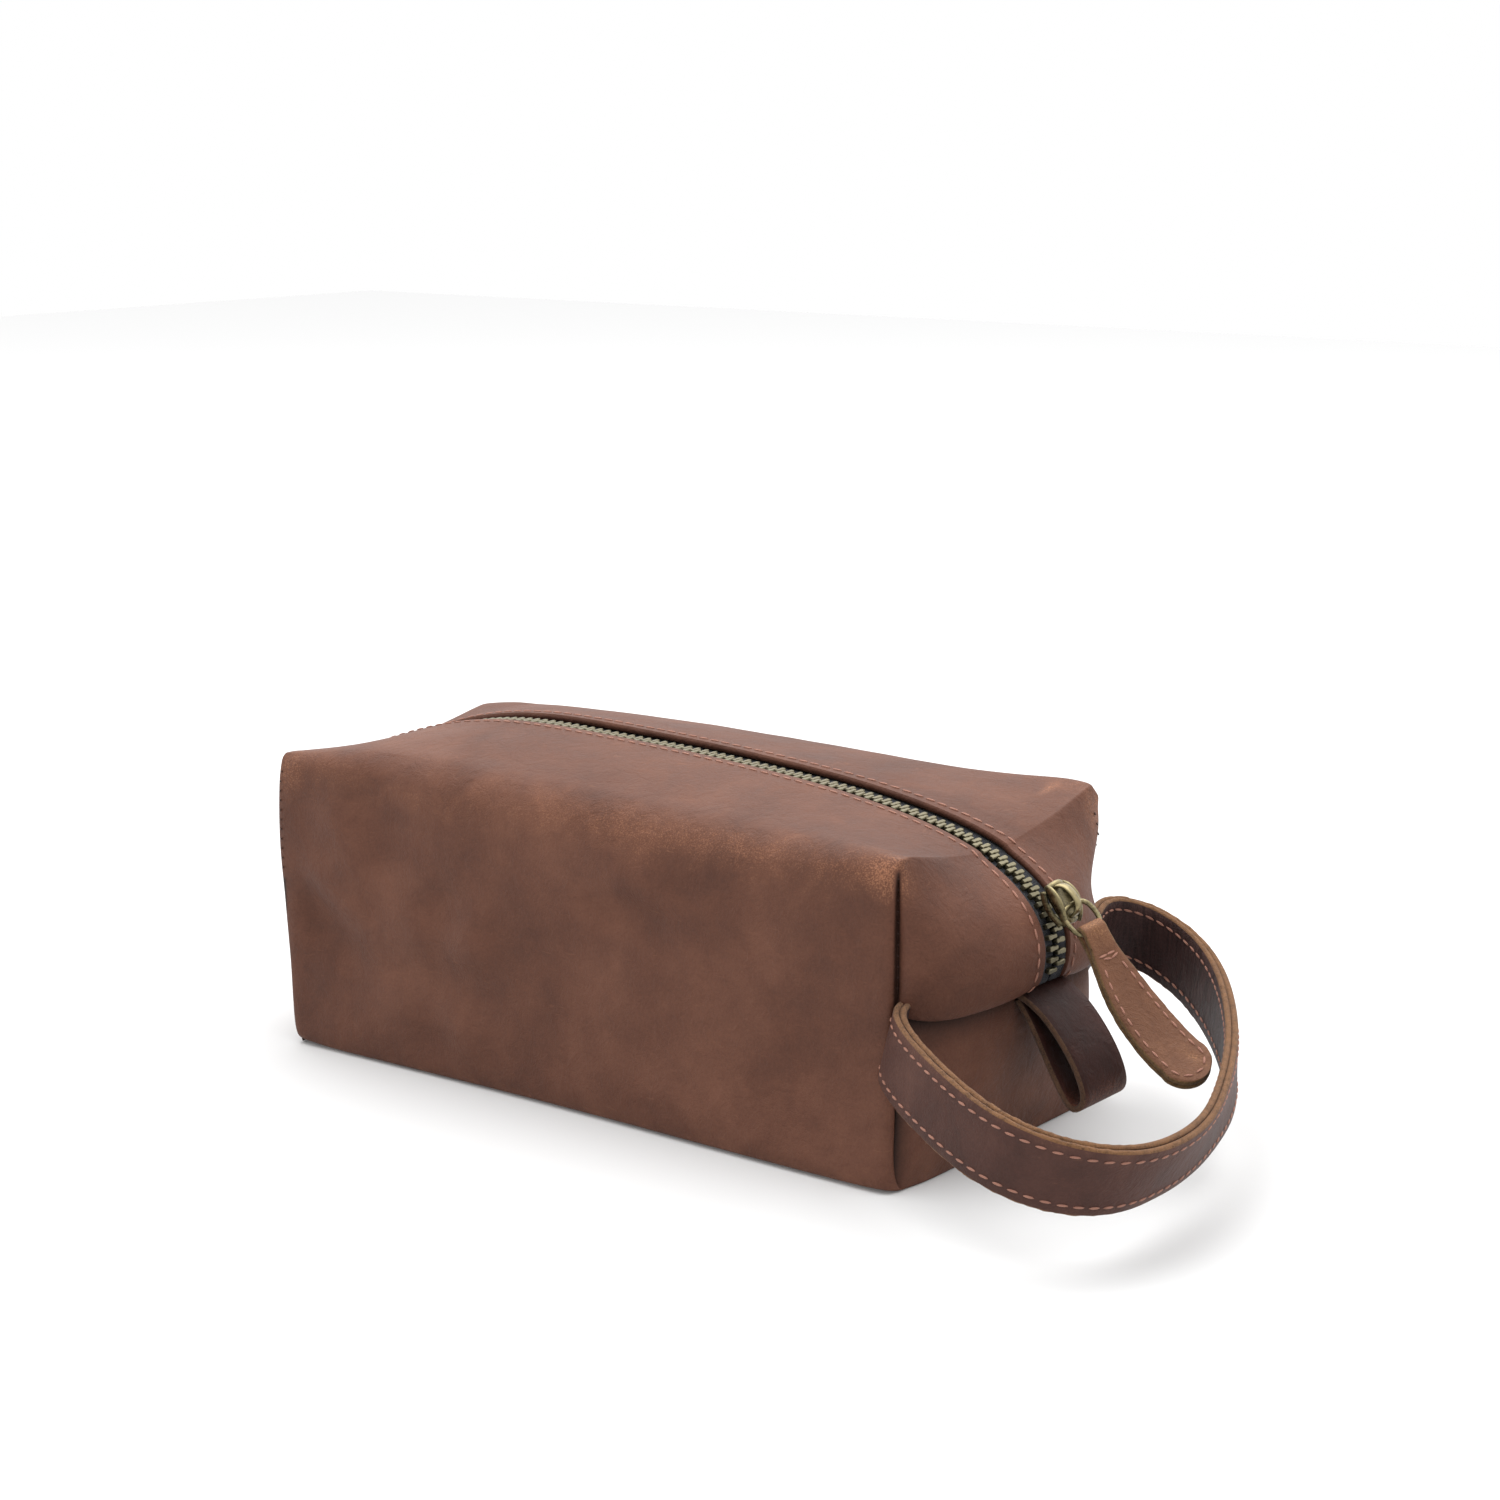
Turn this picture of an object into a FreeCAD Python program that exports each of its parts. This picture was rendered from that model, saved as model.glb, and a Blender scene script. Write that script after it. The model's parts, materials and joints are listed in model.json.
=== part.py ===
import FreeCAD, Part
import math
import os
import Sketcher

# Shaving kit bag: a boxy leather pouch with bulging, seamed ends.  A metal zip runs over the top and
# down both ends, a two-layer strap loops out of one end, and a folded tab is sewn under the zip's end.
# Row frame: origin at the centre of the base, +X towards the handle end, +Y to the back, +Z up.  Lengths in mm.

doc = FreeCAD.newDocument("kit_bag")
sheet = doc.addObject("Spreadsheet::Sheet", "Sizes")

SIZES = {
    # stations along the bag: distance from the middle, half width, underside, height at the sides
    # and height on the zip line
    "mid_x": 0.0, "mid_half": 57.0, "mid_low": -0.4, "mid_side": 104.5, "mid_ridge": 109.0,
    "shoulder_x": 62.0, "shoulder_half": 56.6, "shoulder_low": -0.4, "shoulder_side": 103.0,
    "shoulder_ridge": 104.8,
    "rim_x": 108.0, "rim_half": 56.0, "rim_low": -0.4, "rim_side": 101.3, "rim_ridge": 96.6,
    "far_shoulder_x": 68.0, "far_shoulder_half": 56.6, "far_shoulder_low": -0.4, "far_shoulder_side": 105.5,
    "far_shoulder_ridge": 110.0,
    "far_rim_x": 100.0, "far_rim_half": 56.0, "far_rim_low": -0.4, "far_rim_side": 103.5, "far_rim_ridge": 103.5,
    "corner_x": 123.0, "corner_half": 55.5, "corner_low": 0.6, "corner_side": 100.0, "corner_ridge": 90.6,
    "bulge_x": 134.0, "bulge_half": 42.0, "bulge_low": 22.0, "bulge_side": 84.0, "bulge_ridge": 84.4,
    "nose_x": 141.0, "nose_half": 27.0, "nose_low": 38.0, "nose_side": 76.5, "nose_ridge": 78.4,
    "tip_x": 145.0, "tip_half": 12.0, "tip_low": 52.0, "tip_side": 69.0, "tip_ridge": 70.0,
    "corner_round": 7.0,
    "tip_round": 3.0,
    "leather": 2.2,
    # the cut for the zip and the two halves of the top that fold back
    "slot_width": 14.0,
    "slot_floor": 53.0,
    "flap_length": 170.0,
    "flap_fold": 52.0,
    "flap_base": 96.0,
    "free_gap": 0.4,
    # zip
    "tape_drop": 4.6,
    "tape_thick": 0.8,
    "tape_half": 9.5,
    "tape_apart": 1.2,
    "tooth_pitch": 3.4,
    "tooth_thick": 1.2,
    "tooth_reach": 3.7,
    "tooth_mesh": 1.2,
    "tooth_tall": 4.5,
    # slider, wire ring and leather pull
    "slider_x": 145.6,
    "slider_z": 78.6,
    "slider_slope": 54.0,
    "slider_long": 13.5,
    "slider_wide": 11.4,
    "slider_plate": 1.8,
    "slider_rib": 1.6,
    "slider_rib_tall": 2.6,
    "bail_wide": 3.4,
    "bail_long": 9.6,
    "bail_tall": 6.6,
    "bail_bar": 1.7,
    "ring_wire": 0.95,
    "ring_wide": 11.6,
    "ring_long": 10.0,
    "ring_bend": 1.9,
    "pull_slope": 44.0,
    "pull_long": 53.0,
    "pull_wide": 15.0,
    "pull_eye_wide": 7.6,
    "pull_neck": 6.0,
    "pull_shoulder": 30.0,
    "pull_thick": 3.2,
    "pull_eye": 1.4,
    "pull_eye_wall": 1.6,
    # strap handle
    "strap_wide": 22.0,
    "strap_layer": 1.9,
    "strap_tilt": 14.0,
    "strap_root_x": 120.5,
    "strap_root_z": 46.3,
    "strap_reach": 95.0,
    "strap_half": 85.5,
    # folded end tab
    "tab_wide": 25.0,
    "tab_thick": 2.0,
    # stitching
    "stitch_pitch": 4.5,
    "stitch_long": 3.2,
    "stitch_wide": 0.8,
    "stitch_tall": 0.5,
    "stitch_inset": 4.0,
}
for row, (alias, size) in enumerate(SIZES.items(), 1):
    sheet.set("A%d" % row, alias)
    sheet.set("B%d" % row, str(size))
    sheet.setAlias("B%d" % row, alias)
doc.recompute()


def size(alias):
    return float(sheet.get(alias))


def origin_plane(body, role):
    for feature in body.Origin.OriginFeatures:
        if feature.Role == role:
            return feature


def new_body(label):
    body = doc.addObject("PartDesign::Body", label)
    body.Label = label
    return body


def new_sketch(body, role, name):
    sketch = body.newObject("Sketcher::SketchObject", name)
    sketch.AttachmentSupport = [(origin_plane(body, role), "")]
    sketch.MapMode = "FlatFace"
    return sketch


def new_pad(body, sketch, name, length):
    pad = body.newObject("PartDesign::Pad", name)
    pad.Profile = sketch
    pad.Midplane = True
    pad.setExpression("Length", length)
    body.Tip = pad
    return pad


def driven_outline(sketch, corners):
    """Closed outline of straight lines; every corner is held by two expressions of the sheet."""
    for number in range(len(corners)):
        sketch.addGeometry(Part.LineSegment(FreeCAD.Vector(number, 0, 0), FreeCAD.Vector(number + 1, 1, 0)))
    for number in range(len(corners)):
        sketch.addConstraint(Sketcher.Constraint("Coincident", number, 2, (number + 1) % len(corners), 1))
    for number, (across, up) in enumerate(corners):
        for kind, text in (("DistanceX", across), ("DistanceY", up)):
            start = sketch.evalExpression(text)
            index = sketch.addConstraint(Sketcher.Constraint(kind, -1, 1, number, 1, float(start)))
            sketch.setExpression("Constraints[%d]" % index, text)


# ---- leather shell -------------------------------------------------------------------------------

CURVED_END = ("corner", "bulge", "nose", "tip")
NEAR_ROW = ("mid", "shoulder", "rim") + CURVED_END
FAR_ROW = ("mid", "far_shoulder", "far_rim") + CURVED_END


def shell_section(body, station, side, inset, name):
    """Cross-section of the bag at one station, drawn in by the inset where it is the hollow."""
    sketch = new_sketch(body, "YZ_Plane", name)
    trim = "Sizes.leather * %g" % inset
    away = trim if station in CURVED_END else "0"
    sketch.setExpression("AttachmentOffset.Base.z", "%d * (Sizes.%s_x - %s)" % (side, station, away))
    rounding = "Sizes.tip_round" if station == "tip" else "Sizes.corner_round"
    half = "(Sizes.%s_half - %s)" % (station, trim)
    low = "(Sizes.%s_low + %s)" % (station, trim)
    top = "(Sizes.%s_side - %s)" % (station, trim)
    ridge = "(Sizes.%s_ridge - %s)" % (station, trim)
    right = [(half + " - " + rounding, low), (half, low + " + " + rounding),
             (half, top + " - " + rounding), (half + " - " + rounding, top)]
    left = [("-(" + across + ")", up) for across, up in reversed(right)]
    driven_outline(sketch, right + [("0", ridge)] + left)
    return sketch


def shell_loft(body, kind, inset, name):
    row = [(station, -1) for station in reversed(FAR_ROW)] + [(station, 1) for station in NEAR_ROW[1:]]
    sections = [shell_section(body, station, side, inset, "%s_%s_%d" % (name, station, side > 0))
                for station, side in row]
    loft = body.newObject(kind, name)
    loft.Profile = sections[0]
    loft.Sections = sections[1:]
    loft.Ruled = True
    body.Tip = loft


def driven_box(name, corner, lengths):
    """Box whose low corner and three lengths are expressions of the sheet."""
    box = doc.addObject("Part::Box", name)
    for side, text in zip(("Length", "Width", "Height"), lengths):
        box.setExpression(side, text)
    for side, text in zip("xyz", corner):
        box.setExpression("Placement.Base." + side, text)
    return box


def joined(kind, name, base, tool):
    result = doc.addObject(kind, name)
    result.Base = base
    result.Tool = tool
    return result


whole_shell = new_body("whole_shell")
shell_loft(whole_shell, "PartDesign::AdditiveLoft", 0, "outside")
shell_loft(whole_shell, "PartDesign::SubtractiveLoft", 1, "inside")

slot = driven_box("zip_slot", ("-200", "-Sizes.slot_width / 2", "Sizes.slot_floor"),
                  ("400", "Sizes.slot_width", "100"))
window = driven_box("flap_window", ("-Sizes.flap_length / 2", "-Sizes.flap_fold", "Sizes.flap_base"),
                    ("Sizes.flap_length", "2 * Sizes.flap_fold", "50"))
ground = driven_box("ground", ("-200", "-100", "-10"), ("400", "200", "10"))
slotted_shell = joined("Part::Cut", "slotted_shell", whole_shell, slot)
windowed_shell = joined("Part::Cut", "windowed_shell", slotted_shell, window)
bag_leather = joined("Part::Cut", "bag_leather", windowed_shell, ground)


def flap(name, low_side):
    blank = driven_box(name + "_blank",
                       ("-Sizes.flap_length / 2 + Sizes.free_gap", low_side, "Sizes.flap_base"),
                       ("Sizes.flap_length - 2 * Sizes.free_gap",
                        "Sizes.flap_fold - Sizes.free_gap - Sizes.slot_width / 2", "50"))
    return joined("Part::Common", name, whole_shell, blank)


top_flap_front = flap("top_flap_front", "-Sizes.flap_fold + Sizes.free_gap")
top_flap_back = flap("top_flap_back", "Sizes.slot_width / 2")

# ---- curves that straps, tape and rows of teeth follow -------------------------------------------


def smooth(points):
    curve = Part.BSplineCurve()
    curve.interpolate([FreeCAD.Vector(across, 0, up) for across, up in points])
    return curve


def frame_at(curve, distance):
    """Point, direction of travel and left-hand normal at a distance along a curve in the XZ plane."""
    parameter = curve.parameterAtDistance(distance, curve.FirstParameter)
    along = curve.tangent(parameter)[0]
    return curve.value(parameter), along, FreeCAD.Vector(-along.z, 0, along.x)


def offset_spline(curve, start, stop, offset, count):
    points = []
    for step in range(count + 1):
        place, along, normal = frame_at(curve, start + (stop - start) * step / count)
        shifted = place + normal * offset
        points.append(FreeCAD.Vector(shifted.x, shifted.z, 0))
    spline = Part.BSplineCurve()
    spline.interpolate(points)
    return spline


def strip(label, curve, start, stop, low, high, width, count=24):
    """Flat strip bent along a curve: a body padded to its width both ways from the XZ plane."""
    body = new_body(label)
    sketch = new_sketch(body, "XZ_Plane", label + "_edge")
    inner = offset_spline(curve, start, stop, low, count)
    outer = offset_spline(curve, start, stop, high, count)
    sketch.addGeometry([inner, outer,
                        Part.LineSegment(inner.StartPoint, outer.StartPoint),
                        Part.LineSegment(inner.EndPoint, outer.EndPoint)])
    new_pad(body, sketch, label + "_pad", width)
    return body


def block_at(curve, distance, across, offset, long, wide, tall):
    """Small block lying along the curve; offset is its centre's height off the curve."""
    place, along, normal = frame_at(curve, distance)
    block = Part.makeBox(long, wide, tall, FreeCAD.Vector(-long / 2, across, offset - tall / 2))
    turn = FreeCAD.Rotation(FreeCAD.Vector(0, 1, 0), math.degrees(math.atan2(-along.z, along.x)))
    return block.transformed(FreeCAD.Placement(place, turn).toMatrix())


def group(label, solids, placement=None):
    """One sub-part made of many like solids."""
    made = doc.addObject("Part::Feature", label)
    made.Label = label
    made.Shape = Part.makeCompound(solids)
    made.Placement = placement or FreeCAD.Placement()
    return made


# the zip's tape line lies under the ridge of the shell, from one end's slot floor to the other's
drop = size("tape_drop")


def ridge_points(row):
    """Points of the tape line from the first station outwards and down the end."""
    points = [(size(name + "_x"), size(name + "_ridge") - drop) for name in row[:4]]
    points.append((size("bulge_x") - 2.6, size("bulge_ridge") - drop + 0.4))
    points.append((size("nose_x") - 3.2, size("nose_ridge") - drop + 0.6))
    points.append((size("tip_x") - drop, size("tip_ridge") - 4.0))
    points.append((size("tip_x") - drop, size("slot_floor") + 1.0))
    return points


tape_line = smooth([(-across, up) for across, up in reversed(ridge_points(FAR_ROW))]
                   + ridge_points(NEAR_ROW)[1:])
tape_run = tape_line.length()
middle = tape_run / 2
flap_half = size("flap_length") / 2


def distance_at(across):
    """Distance along the tape line at which it crosses a given x."""
    return tape_line.length(tape_line.FirstParameter, tape_line.parameter(FreeCAD.Vector(across, 0, 104)))


left_fold = distance_at(-flap_half)
right_fold = distance_at(flap_half)

tape_width = "Sizes.tape_half - Sizes.tape_apart"
tape_shift = (size("tape_half") + size("tape_apart")) / 2
for name, side in (("zip_tape_front", -1), ("zip_tape_back", 1)):
    tape = strip(name, tape_line, left_fold + 0.5, right_fold - 0.5, -size("tape_thick"), 0, tape_width)
    tape.Placement = FreeCAD.Placement(FreeCAD.Vector(0, side * tape_shift, 0), FreeCAD.Rotation())
END_RUNS = {"left": (0.0, left_fold - 0.5), "right": (right_fold + 0.5, tape_run)}
for name, (start, stop) in END_RUNS.items():
    strip("zip_tape_end_" + name, tape_line, start, stop, -size("tape_thick"), 0, "2 * Sizes.tape_half")


def teeth(low, high, sides):
    """Teeth at the zip's pitch; the two sides are half a pitch apart, so their heads mesh."""
    pitch = size("tooth_pitch")
    reach = size("tooth_reach")
    mesh = size("tooth_mesh")
    tall = size("tooth_tall")
    solids = []
    for side in sides:
        shift = 0.5 * pitch if side > 0 else 0.0
        low_side = -reach if side < 0 else -mesh
        for step in range(math.ceil((low - shift - middle) / pitch), int((high - shift - middle) // pitch) + 1):
            solids.append(block_at(tape_line, middle + step * pitch + shift, low_side, 0.1 + tall / 2,
                                   size("tooth_thick"), reach + mesh, tall))
    return solids


tooth_room = 1.4
group("zip_teeth_front", teeth(left_fold + tooth_room, right_fold - tooth_room, (-1,)))
group("zip_teeth_back", teeth(left_fold + tooth_room, right_fold - tooth_room, (1,)))
group("zip_teeth_ends", teeth(3.2, left_fold - tooth_room, (-1, 1))
      + teeth(right_fold + tooth_room, tape_run - 3.2, (-1, 1)))
group("zip_end_stops", [block_at(tape_line, distance, -4.2, 0.1 + 1.4, 2.4, 8.4, 2.8)
                        for distance in (1.4, tape_run - 1.4)])


def stitches(curve, start, stop, across, offset):
    """Row of stitches along a curve; across is the row's sideways place."""
    count = int((stop - start) // size("stitch_pitch"))
    first = (start + stop - count * size("stitch_pitch")) / 2
    return [block_at(curve, first + step * size("stitch_pitch"), across - size("stitch_wide") / 2,
                     offset + size("stitch_tall") / 2 + 0.05,
                     size("stitch_long"), size("stitch_wide"), size("stitch_tall"))
            for step in range(count + 1)]


def surface_row(start_x, stop_x, across):
    """Stitches lying on the shell's top along a line of constant y, following the roof of each section."""
    solids = []
    for sign, row in ((-1, FAR_ROW), (1, NEAR_ROW)):
        points = []
        for name in row[:4]:
            level = size(name + "_half") - size("corner_round")
            fall = (size(name + "_ridge") - size(name + "_side")) * abs(across) / level
            points.append((size(name + "_x"), size(name + "_ridge") - fall))
        for (low_x, low_z), (high_x, high_z) in zip(points, points[1:]):
            for step in range(int(high_x // size("stitch_pitch")) + 1):
                place_x = (step + 0.5) * size("stitch_pitch")
                inside = low_x + 2.0 < place_x < high_x - 2.0
                if inside and start_x < place_x < stop_x:
                    share = (place_x - low_x) / (high_x - low_x)
                    slope = math.degrees(math.atan2(high_z - low_z, high_x - low_x))
                    block = Part.makeBox(size("stitch_long"), size("stitch_wide"), size("stitch_tall"),
                                         FreeCAD.Vector(-size("stitch_long") / 2, -size("stitch_wide") / 2, 0.1))
                    turn = FreeCAD.Rotation(FreeCAD.Vector(0, 1, 0), -sign * slope)
                    place = FreeCAD.Vector(sign * place_x, across, low_z + share * (high_z - low_z))
                    solids.append(block.transformed(FreeCAD.Placement(place, turn).toMatrix()))
    return solids


row_y = size("slot_width") / 2 + size("stitch_inset")
group("zip_stitching_front", surface_row(0, flap_half - 3.0, -row_y))
group("zip_stitching_back", surface_row(0, flap_half - 3.0, row_y))
group("zip_stitching_ends", surface_row(flap_half + 3.0, size("corner_x"), -row_y)
      + surface_row(flap_half + 3.0, size("corner_x"), row_y))

# ---- slider, wire ring and leather pull ----------------------------------------------------------

slope = size("slider_slope")
slider_place = FreeCAD.Placement(FreeCAD.Vector(size("slider_x"), 0, size("slider_z")),
                                 FreeCAD.Rotation(FreeCAD.Vector(0, 1, 0), slope))

zip_slider = new_body("zip_slider")
plate = new_sketch(zip_slider, "XZ_Plane", "slider_side")
driven_outline(plate, [("-Sizes.slider_long / 2", "0"), ("Sizes.slider_long / 2", "0"),
                       ("Sizes.slider_long / 2", "Sizes.slider_plate"),
                       ("-Sizes.slider_long / 2", "Sizes.slider_plate")])
new_pad(zip_slider, plate, "slider_plate", "Sizes.slider_wide")
rib = new_sketch(zip_slider, "YZ_Plane", "slider_ribs")
for side in ("-1", "1"):
    start = rib.GeometryCount
    edges = [("%s * Sizes.slider_wide / 2" % side, "Sizes.slider_plate / 2"),
             ("%s * (Sizes.slider_wide / 2 - Sizes.slider_rib)" % side, "Sizes.slider_plate / 2"),
             ("%s * (Sizes.slider_wide / 2 - Sizes.slider_rib)" % side, "Sizes.slider_rib_tall"),
             ("%s * Sizes.slider_wide / 2" % side, "Sizes.slider_rib_tall")]
    for number, (across, up) in enumerate(edges):
        after = edges[(number + 1) % 4]
        rib.addGeometry(Part.LineSegment(
            FreeCAD.Vector(float(rib.evalExpression(across)), float(rib.evalExpression(up)), 0),
            FreeCAD.Vector(float(rib.evalExpression(after[0])), float(rib.evalExpression(after[1])), 0)))
new_pad(zip_slider, rib, "slider_rib_pad", "Sizes.slider_long")
bail = new_sketch(zip_slider, "XZ_Plane", "bail_outline")
driven_outline(bail, [("-Sizes.bail_long / 2", "Sizes.slider_plate / 2"),
                      ("Sizes.bail_long / 2", "Sizes.slider_plate / 2"),
                      ("Sizes.bail_long / 2", "Sizes.bail_tall - 2.4"),
                      ("Sizes.bail_long / 2 - 2.4", "Sizes.bail_tall"),
                      ("-Sizes.bail_long / 2 + 2.4", "Sizes.bail_tall"),
                      ("-Sizes.bail_long / 2", "Sizes.bail_tall - 2.4")])
new_pad(zip_slider, bail, "bail_pad", "Sizes.bail_wide")
eye = new_sketch(zip_slider, "XZ_Plane", "bail_eye")
driven_outline(eye, [("-Sizes.bail_long / 2 + Sizes.bail_bar", "Sizes.slider_plate"),
                     ("Sizes.bail_long / 2 - Sizes.bail_bar", "Sizes.slider_plate"),
                     ("Sizes.bail_long / 2 - Sizes.bail_bar", "Sizes.bail_tall - 3.2"),
                     ("Sizes.bail_long / 2 - 3.2", "Sizes.bail_tall - Sizes.bail_bar"),
                     ("-Sizes.bail_long / 2 + 3.2", "Sizes.bail_tall - Sizes.bail_bar"),
                     ("-Sizes.bail_long / 2 + Sizes.bail_bar", "Sizes.bail_tall - 3.2")])
eye_cut = zip_slider.newObject("PartDesign::Pocket", "bail_eye_cut")
eye_cut.Profile = eye
eye_cut.Midplane = True
eye_cut.Type = 1
zip_slider.Tip = eye_cut
zip_slider.Placement = slider_place

# the ring hangs in the bail's outer end; its plane holds the Y axis and the pull's direction
ring_seat = slider_place.multVec(FreeCAD.Vector(size("bail_long") / 2 - size("bail_bar") - 1.5, 0,
                                                size("bail_tall") - size("bail_bar") - 1.7))
pull_turn = FreeCAD.Rotation(FreeCAD.Vector(0, 1, 0), size("pull_slope"))
ring_place = FreeCAD.Placement(ring_seat, pull_turn)


def rounded_loop(length, width, radius):
    """Rounded rectangle about the X axis, starting on the Y axis side at x = 0."""
    half = width / 2
    turn = radius * (1 - math.sqrt(0.5))
    corners = [((0, -half + radius), (turn, -half + turn), (radius, -half)),
               ((length - radius, -half), (length - turn, -half + turn), (length, -half + radius)),
               ((length, half - radius), (length - turn, half - turn), (length - radius, half)),
               ((radius, half), (turn, half - turn), (0, half - radius))]
    edges = []
    for number, (start, mid, stop) in enumerate(corners):
        after = corners[(number + 1) % 4][0]
        edges.append(Part.Arc(*[FreeCAD.Vector(across, up, 0) for across, up in (start, mid, stop)]))
        edges.append(Part.LineSegment(FreeCAD.Vector(*stop, 0), FreeCAD.Vector(*after, 0)))
    return edges


pull_ring = new_body("pull_ring")
spine = new_sketch(pull_ring, "XY_Plane", "ring_line")
spine.addGeometry(rounded_loop(size("ring_long"), size("ring_wide"), size("ring_bend")))
wire = new_sketch(pull_ring, "XZ_Plane", "ring_wire_section")
wire.addGeometry(Part.Circle(FreeCAD.Vector(0, 0, 0), FreeCAD.Vector(0, 0, 1), size("ring_wire")))
wire.addConstraint(Sketcher.Constraint("Coincident", 0, 3, -1, 1))
wire_size = wire.addConstraint(Sketcher.Constraint("Radius", 0, size("ring_wire")))
wire.setExpression("Constraints[%d]" % wire_size, "Sizes.ring_wire")
ring_pipe = pull_ring.newObject("PartDesign::AdditivePipe", "ring_pipe")
ring_pipe.Profile = wire
ring_pipe.Spine = (spine, [])
ring_pipe.Mode = 0
pull_ring.Tip = ring_pipe
pull_ring.Placement = ring_place

zip_pull = new_body("zip_pull")
pull_plan = new_sketch(zip_pull, "XY_Plane", "pull_plan")
half = size("pull_wide") / 2
straight = size("pull_long") - half
eye_half = size("pull_eye_wide") / 2
corners = [(size("pull_shoulder"), half), (size("pull_neck"), eye_half), (0, eye_half), (0, -eye_half),
           (size("pull_neck"), -eye_half), (size("pull_shoulder"), -half), (straight, -half)]
outline = [FreeCAD.Vector(along, across, 0) for along, across in [(straight, half)] + corners]
pull_plan.addGeometry([Part.LineSegment(start, stop) for start, stop in zip(outline, outline[1:])])
pull_plan.addGeometry(Part.Arc(outline[-1], FreeCAD.Vector(straight + half, 0, 0), outline[0]))
new_pad(zip_pull, pull_plan, "pull_strip", "Sizes.pull_thick")
for name, radius in (("pull_fold", "Sizes.pull_eye + Sizes.pull_eye_wall"), ("pull_eye_hole", "Sizes.pull_eye")):
    circle = new_sketch(zip_pull, "XZ_Plane", name + "_circle")
    circle.addGeometry(Part.Circle(FreeCAD.Vector(0, 0, 0), FreeCAD.Vector(0, 0, 1), 2.0))
    circle.addConstraint(Sketcher.Constraint("Coincident", 0, 3, -1, 1))
    index = circle.addConstraint(Sketcher.Constraint("Radius", 0, 2.0))
    circle.setExpression("Constraints[%d]" % index, radius)
    if name == "pull_fold":
        new_pad(zip_pull, circle, name, "Sizes.pull_eye_wide")
    else:
        hole = zip_pull.newObject("PartDesign::Pocket", name)
        hole.Profile = circle
        hole.Midplane = True
        hole.Type = 1
        zip_pull.Tip = hole
pull_place = FreeCAD.Placement(ring_place.multVec(FreeCAD.Vector(size("ring_long"), 0, 0)), pull_turn)
zip_pull.Placement = pull_place

pull_line = Part.LineSegment(FreeCAD.Vector(0, 0, 0), FreeCAD.Vector(size("pull_long"), 0, 0))
pull_rows = []
for across in (-half + 2.4, half - 2.4):
    pull_rows += stitches(pull_line, size("pull_shoulder") - 3.0, straight + 1.0, across, size("pull_thick") / 2)
group("pull_stitching", pull_rows, pull_place)

# ---- strap handle --------------------------------------------------------------------------------

# the loop is drawn in its own plane, which leans down from the two roots, as shares of the reach and the
# half width; it lies askew, pushed out near the front root and back beside the far one
LOOP = ((0.03, -0.70), (0.28, -0.87), (0.60, -1.0), (0.87, -0.91), (1.0, -0.57), (0.92, -0.15),
        (0.71, 0.30), (0.46, 0.74), (0.16, 0.995), (0.02, 0.935), (-0.01, 0.82), (0.03, 0.70))
strap_line = smooth([(size("strap_reach") * along, size("strap_half") * out) for along, out in LOOP])
strap_run = strap_line.length()
strap_turn = (FreeCAD.Rotation(FreeCAD.Vector(0, 1, 0), size("strap_tilt"))
              * FreeCAD.Rotation(FreeCAD.Vector(1, 0, 0), -90))
strap_place = FreeCAD.Placement(
    FreeCAD.Vector(size("strap_root_x"), 0, size("strap_root_z")), strap_turn)
for name, low, high in (("handle_inner_strap", 0.05, size("strap_layer")),
                        ("handle_outer_strap", -size("strap_layer"), 0.0)):
    layer = strip(name, strap_line, 0.0, strap_run, low, high, "Sizes.strap_wide", 32)
    layer.Placement = strap_place
edge_row = size("strap_wide") / 2 - 3.4
strap_rows = []
for across in (-edge_row, edge_row):
    strap_rows += stitches(strap_line, 6.0, strap_run - 6.0, across, -size("strap_layer") - size("stitch_tall") - 0.25)
group("handle_stitching", strap_rows, strap_place)

# ---- folded end tab ------------------------------------------------------------------------------

tab_line = smooth([(148.0, 50.6), (155.0, 43.0), (161.0, 33.0), (161.6, 25.2), (156.6, 22.6),
                   (151.0, 27.6), (148.2, 36.0), (147.2, 43.0)])
strip("end_tab", tab_line, 0.0, tab_line.length(), -size("tab_thick") / 2, size("tab_thick") / 2,
      "Sizes.tab_wide", 32)

# ---- check and export ----------------------------------------------------------------------------

NODES = ("bag_leather", "zip_tape_end_left", "zip_tape_end_right", "zip_teeth_ends", "zip_end_stops",
         "zip_stitching_ends", "top_flap_front", "zip_tape_front", "zip_teeth_front", "zip_stitching_front",
         "top_flap_back", "zip_tape_back", "zip_teeth_back", "zip_stitching_back", "zip_slider",
         "pull_ring", "zip_pull", "pull_stitching", "handle_outer_strap",
         "handle_inner_strap", "handle_stitching", "end_tab")

doc.recompute()
for item in doc.Objects:
    if "Invalid" in item.State or "Error" in item.State:
        raise RuntimeError("%s did not build" % item.Label)
os.makedirs("parts", exist_ok=True)
for node in NODES:
    item = doc.getObjectsByLabel(node)[0]
    if item.Shape.isNull() or not item.Shape.isValid():
        raise RuntimeError("%s has no valid shape" % node)
    item.Shape.exportStep("parts/%s.step" % node)
    box = item.Shape.BoundBox
    print("%-22s %3d solids  x %.1f..%.1f  y %.1f..%.1f  z %.1f..%.1f  %.0f mm3" % (
        node, len(item.Shape.Solids), box.XMin, box.XMax, box.YMin, box.YMax, box.ZMin, box.ZMax,
        item.Shape.Volume))
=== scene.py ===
import json
import math

import bpy
import numpy as np
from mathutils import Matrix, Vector
from mathutils.bvhtree import BVHTree


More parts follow.
